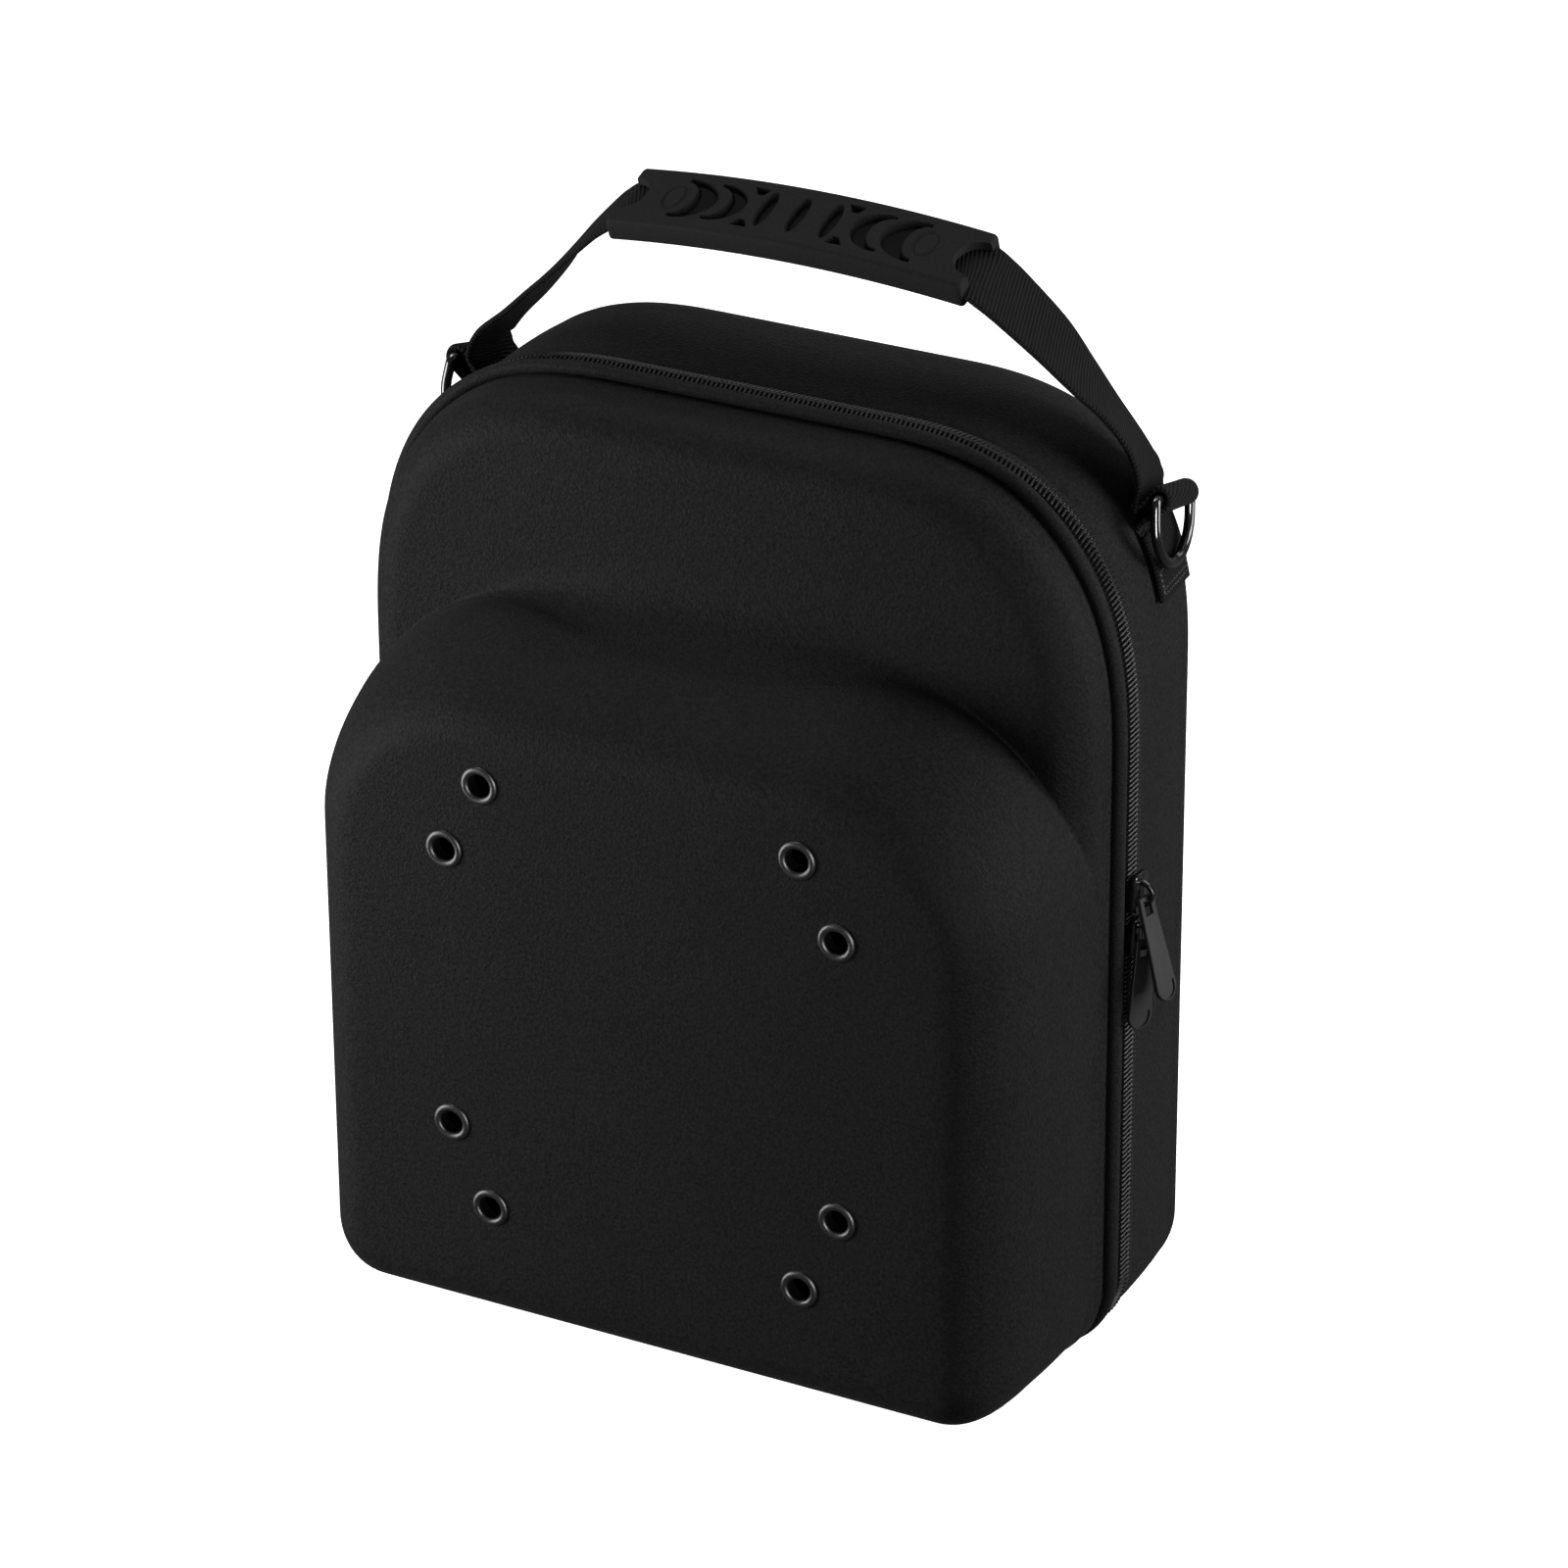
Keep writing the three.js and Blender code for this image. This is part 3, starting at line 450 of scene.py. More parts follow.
def fabric_material(name, dark, light, grain, bump):
    """Close knitted fabric laminated on foam: fine cells, speckle and broad faint patches."""
    material, shader = new_material(name, roughness=0.6, specular=0.035, sheen=0.02)
    place = add_node(material, "ShaderNodeTexCoord").outputs["Object"]
    spread = [(place, "Vector")]
    cells = add_node(material, "ShaderNodeTexVoronoi", spread, Scale=grain)
    speckle = add_node(material, "ShaderNodeTexNoise", spread, Scale=grain * SPECKLE_GRAIN, Detail=3.0)
    patches = add_node(material, "ShaderNodeTexNoise", spread, Scale=22.0, Detail=2.0)
    mixed = add_node(
        material, "ShaderNodeMath",
        [(patches.outputs["Fac"], 0), (speckle.outputs["Fac"], 2)],
        operation="MULTIPLY_ADD",
    )
    mixed.inputs[1].default_value = PATCH_SHARE
    set_tone(material, shader, mixed.outputs[0], low=0.38, high=0.76, dark=dark, light=light)
    first = set_bump(material, shader, cells.outputs["Distance"], bump, distance=0.00025)
    set_bump(material, shader, speckle.outputs["Fac"], bump, distance=0.0003, base=first)
    return material


def webbing_material():
    """Woven webbing: slanted ribs across the strap over a fine warp."""
    material, shader = new_material("webbing", roughness=0.65, specular=0.06, sheen=0.02)
    place = add_node(material, "ShaderNodeUVMap", uv_map="strap").outputs["UV"]
    turned = add_node(material, "ShaderNodeMapping", [(place, "Vector")])
    turned.inputs["Rotation"].default_value = (0, 0, math.radians(RIB_SLANT))
    ribs = add_node(
        material, "ShaderNodeTexWave", [(turned.outputs["Vector"], "Vector")],
        bands_direction="Y", Scale=0.26, Distortion=0.6,
    )
    ribs.inputs["Detail Scale"].default_value = 1.5
    warp = add_node(material, "ShaderNodeTexWave", [(place, "Vector")], bands_direction="X", Scale=0.36)
    set_tone(material, shader, ribs.outputs["Fac"], low=0.1, high=0.9, dark=0.002, light=0.0095)
    first = set_bump(material, shader, ribs.outputs["Fac"], strength=0.9, distance=0.0004)
    set_bump(material, shader, warp.outputs["Fac"], strength=0.35, distance=0.0002, base=first)
    return material


def plain_material(name, dark, light, roughness, grain, bump, metallic=0.0, specular=0.5):
    """Rubber, nylon or metal: an even tone with fine mottling in its colour and surface."""
    material, shader = new_material(name, roughness, metallic, specular)
    place = add_node(material, "ShaderNodeTexCoord").outputs["Object"]
    mottle = add_node(material, "ShaderNodeTexNoise", [(place, "Vector")], Scale=grain, Detail=4.0)
    set_tone(material, shader, mottle.outputs["Fac"], low=0.3, high=0.7, dark=dark, light=light)
    set_bump(material, shader, mottle.outputs["Fac"], bump, distance=0.0002)
    return material


def rubber_material():
    """Moulded rubber, with painted shade that darkens it to nearly black on the floors of its pattern."""
    material = plain_material("grip_rubber", 0.012, 0.017, 0.65, 1200.0, 0.25, specular=0.05)
    shader = material.node_tree.nodes["Principled BSDF"]
    tone = shader.inputs["Base Color"].links[0].from_socket
    # Painted shade: the base colour goes towards a near black as the pattern gets deeper
    depth = add_node(material, "ShaderNodeAttribute", attribute_name="recess_shade")
    mixed = add_node(material, "ShaderNodeMix", data_type="RGBA", blend_type="MIX")
    colour_in, painted_shade_colour, colour_out = mixed.inputs[6], mixed.inputs[7], mixed.outputs[2]
    painted_shade_colour.default_value = (RECESS_SHADE_TONE, RECESS_SHADE_TONE, RECESS_SHADE_TONE, 1)
    links = material.node_tree.links
    links.new(depth.outputs["Fac"], mixed.inputs["Factor"])
    links.new(tone, colour_in)
    links.new(colour_out, shader.inputs["Base Color"])
    return material


# Fabrics: dark and light tone, grain and bump
SHELL = fabric_material("shell_fabric", 0.007, 0.0165, 1250.0, 0.6)
PIPING_CLOTH = fabric_material("piping_fabric", 0.008, 0.018, 1700.0, 0.5)
TAPE = fabric_material("zip_tape", 0.006, 0.016, 2200.0, 0.5)
WEBBING = webbing_material()
RUBBER = rubber_material()
# Plain materials: dark and light tone, roughness, grain and bump
COIL = plain_material("zip_coil", 0.008, 0.013, 0.36, 900.0, 0.1, specular=0.2)
METAL = plain_material("black_metal", 0.05, 0.07, 0.16, 400.0, 0.05, metallic=0.9)
SATIN_METAL = plain_material("satin_black_metal", 0.02, 0.026, 0.55, 900.0, 0.12, specular=0.12)
EYELET_METAL = plain_material("eyelet_metal", 0.034, 0.046, 0.4, 900.0, 0.05, metallic=0.8)
THREAD = plain_material("thread", 0.012, 0.024, 0.5, 2500.0, 0.3, specular=0.3)


# Meshes
def add_object(name, data):
    made = bpy.data.objects.new(name, data)
    bpy.context.scene.collection.objects.link(made)
    return made


def add_piece(name, mesh, material):
    """A smooth piece of one material, from its mesh."""
    mesh.materials.clear()
    mesh.materials.append(material)
    mesh.polygons.foreach_set("use_smooth", [True] * len(mesh.polygons))
    return add_object(name, mesh)


def make_mesh(name, points, faces, material):
    mesh = bpy.data.meshes.new(name)
    mesh.from_pydata((np.asarray(points) * MM).tolist(), [], faces)
    return add_piece(name, mesh, material)


def settle(piece, nodes=(), body="case", sharp=SHARP):
    """Puts a finished piece on its body, in place of the solids that it stands for."""
    piece.data.set_sharp_from_angle(angle=math.radians(sharp))
    if nodes:
        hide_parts(*nodes)
    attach(piece, body)


def cut(piece, cutter):
    """The piece with the cutter's shape taken out, and neither cutter nor modifier left."""
    modifier = piece.modifiers.new("cut", "BOOLEAN")
    modifier.object = cutter
    modifier.operation = "DIFFERENCE"
    modifier.solver = "MANIFOLD"
    graph = bpy.context.evaluated_depsgraph_get()
    made = bpy.data.meshes.new_from_object(piece.evaluated_get(graph))
    piece.modifiers.clear()
    piece.data = made
    bpy.data.objects.remove(cutter)
    return piece


def ring_faces(rings, count, first=0, closed=False, flip=False):
    """Quads between rings of points, each ring a closed loop."""
    faces = []
    for r in range(rings if closed else rings - 1):
        low = first + r * count
        high = first + ((r + 1) % rings) * count
        for i in range(count):
            j = (i + 1) % count
            face = (low + i, low + j, high + j, high + i)
            faces.append(face[::-1] if flip else face)
    return faces


def tube(rings, closed=False):
    """Points and faces of a closed body through rings; open runs get flat ends."""
    count = rings.shape[1]
    faces = ring_faces(len(rings), count, closed=closed)
    if not closed:
        last = (len(rings) - 1) * count
        faces.append(tuple(range(count))[::-1])
        faces.append(tuple(range(last, last + count)))
    return rings.reshape(-1, 3), faces


def face_outward(piece):
    """Turns all faces of a closed piece outward."""
    mesh = piece.data
    mesh.calc_loop_triangles()
    points = np.array([v.co for v in mesh.vertices])
    triangles = np.array([t.vertices for t in mesh.loop_triangles])
    a, b, c = (points[triangles[:, k]] for k in range(3))
    if np.einsum("ij,ij->i", a, np.cross(b, c)).sum() < 0:
        mesh.flip_normals()
    return piece


def solid(name, rings, material, closed=False):
    """A closed piece through rings of points."""
    return face_outward(make_mesh(name, *tube(rings, closed), material))


def gather(bodies):
    """Points and faces of several bodies as one."""
    points, faces = [], []
    for body_points, body_faces in bodies:
        faces += [tuple(len(points) + i for i in face) for face in body_faces]
        points += list(body_points)
    return points, faces


def full_turn(sides):
    """Angles of the points round a circle."""
    return np.linspace(0, 2 * math.pi, sides, endpoint=False)


def arc(centre_u, centre_v, radius_u, radius_v, start, end, steps):
    """Points round part of an ellipse, between two angles in degrees."""
    turns = np.radians(np.linspace(start, end, steps + 1))
    return [(centre_u + radius_u * math.cos(t), centre_v + radius_v * math.sin(t)) for t in turns]


def unit(rows):
    """Rows of numbers brought to unit length."""
    return rows / np.linalg.norm(rows, axis=-1, keepdims=True)


def ease(share):
    """A share held between 0 and 1 and eased at both ends."""
    share = np.clip(share, 0, 1)
    return share * share * (3 - 2 * share)


def distance_along(line):
    """The distance along a line, at each of its points."""
    steps = np.linalg.norm(np.diff(line, axis=0), axis=1)
    return np.concatenate([[0], np.cumsum(steps)])


def through(rows, steps, ahead=None):
    """A smooth run through rows of numbers, with the given steps from each to the next."""
    before = 2 * rows[0] - rows[1]
    after = 2 * rows[-1] - rows[-2] if ahead is None else ahead
    held = np.vstack([before, rows, after])
    run = []
    for k in range(1, len(held) - 2):
        p0, p1, p2, p3 = held[k - 1:k + 3]
        for t in np.linspace(0, 1, steps, endpoint=False):
            run.append(0.5 * (
                2 * p1 + (p2 - p0) * t + (2 * p0 - 5 * p1 + 4 * p2 - p3) * t ** 2
                + (3 * p1 - p0 - 3 * p2 + p3) * t ** 3
            ))
    return np.vstack(run + [rows[-1]])


def resample(line, count):
    """The line's points spread evenly along its length."""
    along = distance_along(line)
    wanted = np.linspace(0, along[-1], count)
    return np.column_stack([np.interp(wanted, along, line[:, k]) for k in range(line.shape[1])])


# Outlines of the shells
def half_outline(half, top, base, corner_x, corner_z, foot, power, density=1):
    """Right half of an outline in X and Z, from the base's middle to the top's middle."""
    quarter = math.pi / 2
    foot_turn = np.linspace(0, quarter, FOOT_POINTS * density)
    corner_turn = np.linspace(0, quarter, CORNER_POINTS * density)
    side = np.linspace(base + foot, top - corner_z, SIDE_POINTS * density)[1:-1]
    flat = np.linspace(0, half - foot, FLAT_POINTS * density, endpoint=False)
    crown = np.linspace(half - corner_x, 0, CROWN_POINTS * density)[1:]
    x = np.concatenate([
        flat,
        half - foot + foot * np.sin(foot_turn),
        np.full_like(side, half),
        half - corner_x + corner_x * np.cos(corner_turn).clip(0) ** (2 / power),
        crown,
    ])
    z = np.concatenate([
        np.full_like(flat, base),
        base + foot - foot * np.cos(foot_turn),
        side,
        top - corner_z + corner_z * np.sin(corner_turn).clip(0) ** (2 / power),
        np.full_like(crown, top),
    ])
    return x, z


def shell_outline(row, density=1):
    """Right half of a shell's outline at one of its rows."""
    _, half, top, base = row
    inset = HALF_WIDTH - half
    foot = max(FOOT_RADIUS - inset, FOOT_LEAST)
    return half_outline(half, top, base, CORNER_X - inset, CORNER_Z - inset, foot, CORNER_POWER, density)


def bulge_outline(row, density=1):
    """Right half of the bulge's outline at one of its rows."""
    _, half, top, base = row
    inset = BULGE_ROWS[0][1] - half
    return half_outline(
        half, top, base, BULGE_CORNER_X - inset, BULGE_CORNER_Z - inset, BULGE_FOOT - inset,
        BULGE_POWER, density,
    )


def edge_rows(row, radius, steps):
    """Rows that carry a shell's last row round an edge of the given radius."""
    turns = np.linspace(0, math.pi / 2, steps + 1)[1:]
    inset = radius * (1 - np.cos(turns))
    deeper = radius * np.sin(turns)
    depth, half, top, base = row
    return np.column_stack([depth + deeper, half - inset, top - inset, base + inset])


def mirrored_ring(x, y, z):
    """A closed ring from its right half, whose first and last points lie on the middle plane."""
    right = np.column_stack([x, y, z])
    left = right[-2:0:-1] * (-1, 1, 1)
    return np.vstack([right, left])


def grid_normals(rings):
    """Outward normals on a grid of rings, from the neighbours along and across it."""
    along = np.gradient(rings, axis=0)
    across = np.roll(rings, -1, axis=1) - np.roll(rings, 1, axis=1)
    normal = np.cross(across, along)
    length = np.linalg.norm(normal, axis=2, keepdims=True)
    return normal / np.maximum(length, TINY)


def shell_piece(name, rings, side):
    """A hollow shell from its outer rings, rim first, closed over the last ring."""
    count = rings.shape[1]
    normals = grid_normals(rings)
    normals *= np.sign((normals[-1, :, 1] * side).mean())
    keep = sorted(set(range(0, len(rings), INNER_STEP)) | {len(rings) - 1})
    inner = rings[keep] - WALL * normals[keep]
    inner[0, :, 1] = rings[0, :, 1]
    inner[-1, :, 1] = rings[-1, :, 1] - side * WALL
    first = rings.size // 3
    points = np.vstack([rings.reshape(-1, 3), inner.reshape(-1, 3)])
    faces = ring_faces(len(rings), count)
    faces += ring_faces(len(keep), count, first, flip=True)
    faces += [(i, first + i, first + (i + 1) % count, (i + 1) % count) for i in range(count)]
    outer_end = (len(rings) - 1) * count
    inner_end = first + (len(keep) - 1) * count
    for start, height, flip in ((outer_end, 0, False), (inner_end, -side * WALL, True)):
        centre = rings[-1].mean(axis=0) + (0, height, 0)
        points = np.vstack([points, centre])
        tip = len(points) - 1
        fan = [(start + i, start + (i + 1) % count, tip) for i in range(count)]
        faces += [face[::-1] for face in fan] if flip else fan
    piece = make_mesh(name, points, faces, SHELL)
    return face_outward(piece)


def crease_size(x):
    """How far the crease is rounded, at one distance from the middle."""
    share = ease((CREASE_SHARP_X - abs(x)) / (CREASE_SHARP_X - CREASE_SOFT_X))
    return CREASE_SHARP + (CREASE_SOFT - CREASE_SHARP) * share


def trim_end(line, length):
    """What is left of a flat line when a length is taken off its end."""
    along = distance_along(line)
    rest = along[-1] - length
    end = [np.interp(rest, along, line[:, k]) for k in range(2)]
    return np.vstack([line[along < rest], end])


def rounded_crease(ledge, corner, front, size):
    """A curve from the ledge to the bulge's front round their corner, and what is left of both."""
    first = trim_end(ledge, min(size, CREASE_LEDGE_SHARE * distance_along(ledge)[-1]))
    second = trim_end(front[::-1], min(size, CREASE_FRONT_SHARE * distance_along(front)[-1]))[::-1]
    t = np.linspace(0, 1, CREASE_RINGS)[:, None]
    curve = (1 - t) ** 2 * first[-1] + 2 * t * (1 - t) * corner + t ** 2 * second[0]
    return first, curve, second


def front_profile(base, bulge, turn):
    """One profile of the front shell from those of its base and its bulge, all as (reach, depth)."""
    rim, edge = base[:BASE_RINGS - 1], base[BASE_RINGS - 1:]
    spare = edge[:, 0] - np.interp(edge[:, 1], bulge[:, 1], bulge[:, 0])
    meets = np.nonzero(spare <= 0)[0]
    if len(meets) == 0:
        depth = edge[-1, 1]
        corner = np.array((np.interp(depth, bulge[:, 1], bulge[:, 0]), depth))
        ledge = np.vstack([edge, resample(np.vstack([edge[-1], corner]), LEDGE_STEPS)[1:]])
    else:
        k = max(meets[0], 1)
        share = np.clip(spare[k - 1] / (spare[k - 1] - spare[k] + TINY), MEETING_SHARE, 1)
        corner = edge[k - 1] + share * (edge[k] - edge[k - 1])
        ledge = np.vstack([edge[:k], corner])
    front = np.vstack([corner, bulge[bulge[:, 1] > corner[1] + MEETING_CLEARANCE]])
    size = crease_size(corner[0] * math.sin(turn))
    ledge, crease, front = rounded_crease(ledge, corner, front, size)
    face = np.linspace(front[-1], (0, FRONT_DEPTH), FACE_RINGS + 1)[1:-1]
    ledge, front = resample(ledge, LEDGE_RINGS), resample(front, BULGE_RINGS)
    return np.vstack([rim, ledge[:-1], crease[:-1], front, face])


def front_rings():
    """The front shell from its rim over the ledge, the crease and the bulge to its face's middle."""
    edge = edge_rows(BASE_ROWS[-1], BASE_EDGE_RADIUS, EDGE_RINGS)
    base_rows = np.vstack([resample(BASE_ROWS, BASE_RINGS), edge])
    bulge_rows = through(BULGE_ROWS, BULGE_STEPS, BULGE_AHEAD)
    guide = resample(np.column_stack(shell_outline(BASE_ROWS[-1], GUIDE_DENSITY)), HALF_RING)
    turns = np.arctan2(guide[:, 0], FACE_CENTRE_Z - guide[:, 1])

    def profiles_of(rows, outline):
        """Profiles as (reach, depth), a row for each row of the shell and a column for each turn."""
        reaches = []
        for row in rows:
            x, z = outline(row, GUIDE_DENSITY)
            row_turns = np.arctan2(x, FACE_CENTRE_Z - z)
            reaches.append(np.interp(turns, row_turns, np.hypot(x, z - FACE_CENTRE_Z)))
        return np.stack(np.broadcast_arrays(reaches, rows[:, :1]), axis=-1)

    base = profiles_of(base_rows, shell_outline)
    bulge = profiles_of(bulge_rows, bulge_outline)
    profiles = np.array([front_profile(base[:, i], bulge[:, i], turn) for i, turn in enumerate(turns)])
    rings = []
    for reach, depth in profiles.transpose(1, 2, 0):
        x = reach * np.sin(turns)
        x[[0, -1]] = 0
        rings.append(mirrored_ring(x, ZIP_Y - depth, FACE_CENTRE_Z - reach * np.cos(turns)))
    return np.array(rings)


def eyelet_places():
    """Each eyelet's name, place across and height."""
    for name, (across, up) in EYELETS.items():
        corner, row = name.split("_")
        for side, sign in (("left", -1), ("right", 1)):
            yield f"{corner}_{side}_{row}", sign * across, up


def front_shell():
    """The lid with its bulge, drilled for the eyelets."""
    piece = shell_piece("moulded_front", front_rings(), -1)
    turns = full_turn(DRILL_SIDES)
    circle = EYELET_HOLE * np.column_stack([np.cos(turns), np.zeros(DRILL_SIDES), np.sin(turns)])
    ends = np.array([[(0, -DRILL_AHEAD, 0)], [(0, DRILL_BEHIND, 0)]])
    drills = [tube(circle + ends + (x, ZIP_Y - FRONT_DEPTH, z)) for _, x, z in eyelet_places()]
    cut(piece, face_outward(make_mesh("eyelet_drill", *gather(drills), SHELL)))
    settle(piece, ["front_shell"], sharp=MOULDED_SHARP)


def rear_shell():
    """The body, from its rim round the rear edge to the middle of its back."""
    edge = edge_rows(REAR_ROWS[-1], REAR_EDGE_RADIUS, EDGE_RINGS)
    rings = []
    for row in np.vstack([through(REAR_ROWS, REAR_STEPS), edge]):
        x, z = shell_outline(row)
        rings.append(mirrored_ring(x, np.full_like(x, ZIP_Y + row[0]), z))
    last = rings[-1]
    middle = last.mean(axis=0)
    for share in np.linspace(1, 0, FACE_RINGS + 1)[1:-1]:
        rings.append(middle + (last - middle) * share)
    piece = shell_piece("moulded_rear", np.array(rings), 1)
    settle(piece, ["rear_shell"], sharp=MOULDED_SHARP)


# Zip
class ZipLine:
    """The zip's line round the case, by distance from the base's middle towards the right."""

    def __init__(self):
        x, z = shell_outline((0, ZIP_HALF_WIDTH, HEIGHT, ZIP_BASE), GUIDE_DENSITY)
        ring = mirrored_ring(x, np.zeros_like(x), z)[:, [0, 2]]
        ring = np.vstack([ring, ring[0]])
        steps = np.linalg.norm(np.diff(ring, axis=0), axis=1)
        self.ring = ring[np.concatenate([[True], steps > SAME_PLACE])]
        self.along = distance_along(self.ring)
        self.length = self.along[-1]
        left = self.ring[:, 0] < -ZIP_HALF_WIDTH + ZIP_SIDE_TOLERANCE
        down, left_along = -self.ring[left, 1], self.along[left]
        self.low = np.interp(-HINGE_LOW, down, left_along) - self.length
        self.high = np.interp(-HINGE_HIGH, down, left_along)

    def place(self, distance):
        """Points on the line, in X and Z."""
        wrapped = np.mod(distance, self.length)
        return np.column_stack([np.interp(wrapped, self.along, self.ring[:, k]) for k in range(2)])

    def at(self, distance):
        """Points on the line, with the directions along it and out of it."""
        place = self.place(distance)
        tangent = unit(self.place(distance + TANGENT_STEP) - self.place(distance - TANGENT_STEP))
        zero = np.zeros(len(place))
        points = np.column_stack([place[:, 0], zero + ZIP_Y, place[:, 1]])
        along = np.column_stack([tangent[:, 0], zero, tangent[:, 1]])
        out = np.column_stack([tangent[:, 1], zero, -tangent[:, 0]])
        return points, along, out

    def sweep(self, distances, section):
        """Rings of a section, given as (across, out) pairs, set along the line."""
        points, _, out = self.at(distances)
        section = np.asarray(section)
        rings = points[:, None, :] + section[None, :, 1, None] * out[:, None, :]
        rings[:, :, 1] += section[None, :, 0]
        return rings


def soft_box(low, high, under, over, radius):
    """A rounded rectangle as (across, out) pairs."""
    near, far, top, base = high - radius, low + radius, over - radius, under + radius
    points = []
    for across, out, start in ((near, top, 0), (far, top, 90), (far, base, 180), (near, base, 270)):
        points += arc(across, out, radius, radius, start, start + 90, BOX_CORNER_STEPS)
    return points


def zip_teeth(zip_line):
    """Two rows of coil teeth, each a rounded bar whose head reaches between its neighbours'."""
    across, lift, share = TOOTH_STATIONS.T
    turns = full_turn(TOOTH_SIDES)
    wide = TOOTH_SLANT * across[:, None] + TOOTH_RADIUS * np.outer(share, np.cos(turns))
    tall = lift[:, None] + TOOTH_RADIUS * np.outer(share, np.sin(turns))
    size = wide.size
    loop = np.arange(TOOTH_SIDES)
    walls = np.array(ring_faces(len(across), TOOTH_SIDES))
    ends = np.array([loop[::-1], loop + size - TOOTH_SIDES])
    points, quads, caps = [], [], []
    total = 0
    for side, shift in ((1, 0), (-1, TOOTH_PITCH / 2)):
        first, last = zip_line.low + TOOTH_MARGIN + shift, zip_line.high - TOOTH_MARGIN
        places = np.arange(first, last, TOOTH_PITCH)
        place, along, out = (row[:, None, None, :] for row in zip_line.at(places))
        body = place + wide[..., None] * along + tall[..., None] * out
        body[..., 1] += side * across[:, None]
        starts = total + size * np.arange(len(places))[:, None, None]
        quads.append((starts + walls[:, ::side]).reshape(-1, 4))
        caps.append((starts + ends[:, ::side]).reshape(-1, TOOTH_SIDES))
        points.append(body.reshape(-1, 3))
        total += len(places) * size
    faces = np.vstack(quads).tolist() + np.vstack(caps).tolist()
    piece = face_outward(make_mesh("zip_teeth", np.vstack(points), faces, COIL))
    settle(piece, ["zip_chain"])


def zip_strips(zip_line):
    """The tapes under the teeth, and the cloth hinge between the zip's two ends."""
    run = np.linspace(zip_line.low, zip_line.high, TAPE_STEPS)
    for side, (low, high) in TAPES.items():
        section = soft_box(low, high, TAPE_UNDER, TAPE_OVER, TAPE_EDGE)
        piece = solid(f"{side}_zip_tape", zip_line.sweep(run, section), TAPE)
        settle(piece, [f"zip_tape_{side}"])
    first, last = zip_line.high + HINGE_GAP, zip_line.low + zip_line.length - HINGE_GAP
    section = soft_box(TAPES["front"][0], TAPES["rear"][1], TAPE_UNDER, HINGE_OVER, HINGE_EDGE)
    rings = zip_line.sweep(np.linspace(first, last, HINGE_STEPS), section)
    settle(solid("hinge_cloth", rings, TAPE), ["hinge_strip"])


def piping(zip_line):
    """Round piping, which lies further forward along the sides than over the top."""
    run = np.linspace(0, zip_line.length, PIPING_STEPS, endpoint=False)
    points, _, out = zip_line.at(run)
    share = ease((np.abs(out[:, :1]) - PIPING_TURN) / PIPING_TURN_SPAN)
    across, lift, radius = (PIPING_TOP + (PIPING_SIDE - PIPING_TOP) * share).T[..., None]
    turns = full_turn(PIPING_SIDES)
    rings = points[:, None, :] + (lift + radius * np.sin(turns))[..., None] * out[:, None, :]
    rings[:, :, 1] += across + radius * np.cos(turns)
    piece = solid("piping_round", rings, PIPING_CLOTH, closed=True)
    settle(piece, ["front_piping"])


# Metal parts
def eyelets():
    """Eyelets with a rolled lip, a barrel and a back washer, each turned about its hole."""
    lip = np.radians(np.linspace(*LIP_TURN, LIP_POINTS))
    rolled = [(LIP_RADIUS + LIP_HALF_WIDTH * math.cos(t), LIP_SINK - LIP_HEIGHT * math.sin(t)) for t in lip]
    radius, depth = np.array([*rolled, *EYELET_BARREL]).T
    turns = full_turn(EYELET_SIDES)[:, None]
    turned = np.broadcast_arrays(radius * np.cos(turns), depth, radius * np.sin(turns))
    rings = np.stack(turned, axis=-1)
    for name, x, z in eyelet_places():
        place = (x, ZIP_Y - FRONT_DEPTH, z)
        piece = solid(f"eyelet_ring_{name}", rings + place, EYELET_METAL, closed=True)
        settle(piece, [f"eyelet_{name}"], sharp=MOULDED_SHARP)


def weld(mesh):
    """Joins points that lie on each other, and turns the faces outward."""
    work = bmesh.new()
    work.from_mesh(mesh)
    bmesh.ops.remove_doubles(work, verts=work.verts, dist=SAME_PLACE)
    bmesh.ops.recalc_face_normals(work, faces=work.faces)
    work.to_mesh(mesh)
    work.free()


def plate(name, outlines, thickness, bevel, basis, material):
    """A flat plate with rounded edges from closed outlines, the later ones holes, set by a basis."""
    curve = bpy.data.curves.new(name, "CURVE")
    curve.dimensions = "2D"
    curve.fill_mode = "BOTH"
    curve.extrude = thickness / 2 - bevel
    curve.bevel_depth = bevel
    curve.bevel_resolution = 2
    curve.offset = -bevel
    for points in outlines:
        spline = curve.splines.new("POLY")
        spline.points.add(len(points) - 1)
        for point, (u, v) in zip(spline.points, points):
            point.co = (u, v, 0, 1)
        spline.use_cyclic_u = True
    holder = add_object(name, curve)
    graph = bpy.context.evaluated_depsgraph_get()
    mesh = bpy.data.meshes.new_from_object(holder.evaluated_get(graph))
    bpy.data.objects.remove(holder)
    mesh.transform(Matrix.Scale(MM, 4) @ basis)
    weld(mesh)
    return add_piece(name, mesh, material)


def straight_sided(upper_half, upper, lower_half, lower):
    """A four-cornered outline from the half widths and places of its two ends."""
    return [(-upper_half, upper), (-lower_half, lower), (lower_half, lower), (upper_half, upper)]


def join(pieces):
    """One piece from several, under the first one's name."""
    with bpy.context.temp_override(active_object=pieces[0], selected_editable_objects=pieces):
        bpy.ops.object.join()
    return pieces[0]


def basis_from(origin, u, v, w):
    """A matrix that sets flat shapes in space, from an origin and three directions."""
    columns = np.column_stack([u, v, w, origin])
    return Matrix([*columns.tolist(), (0, 0, 0, 1)])


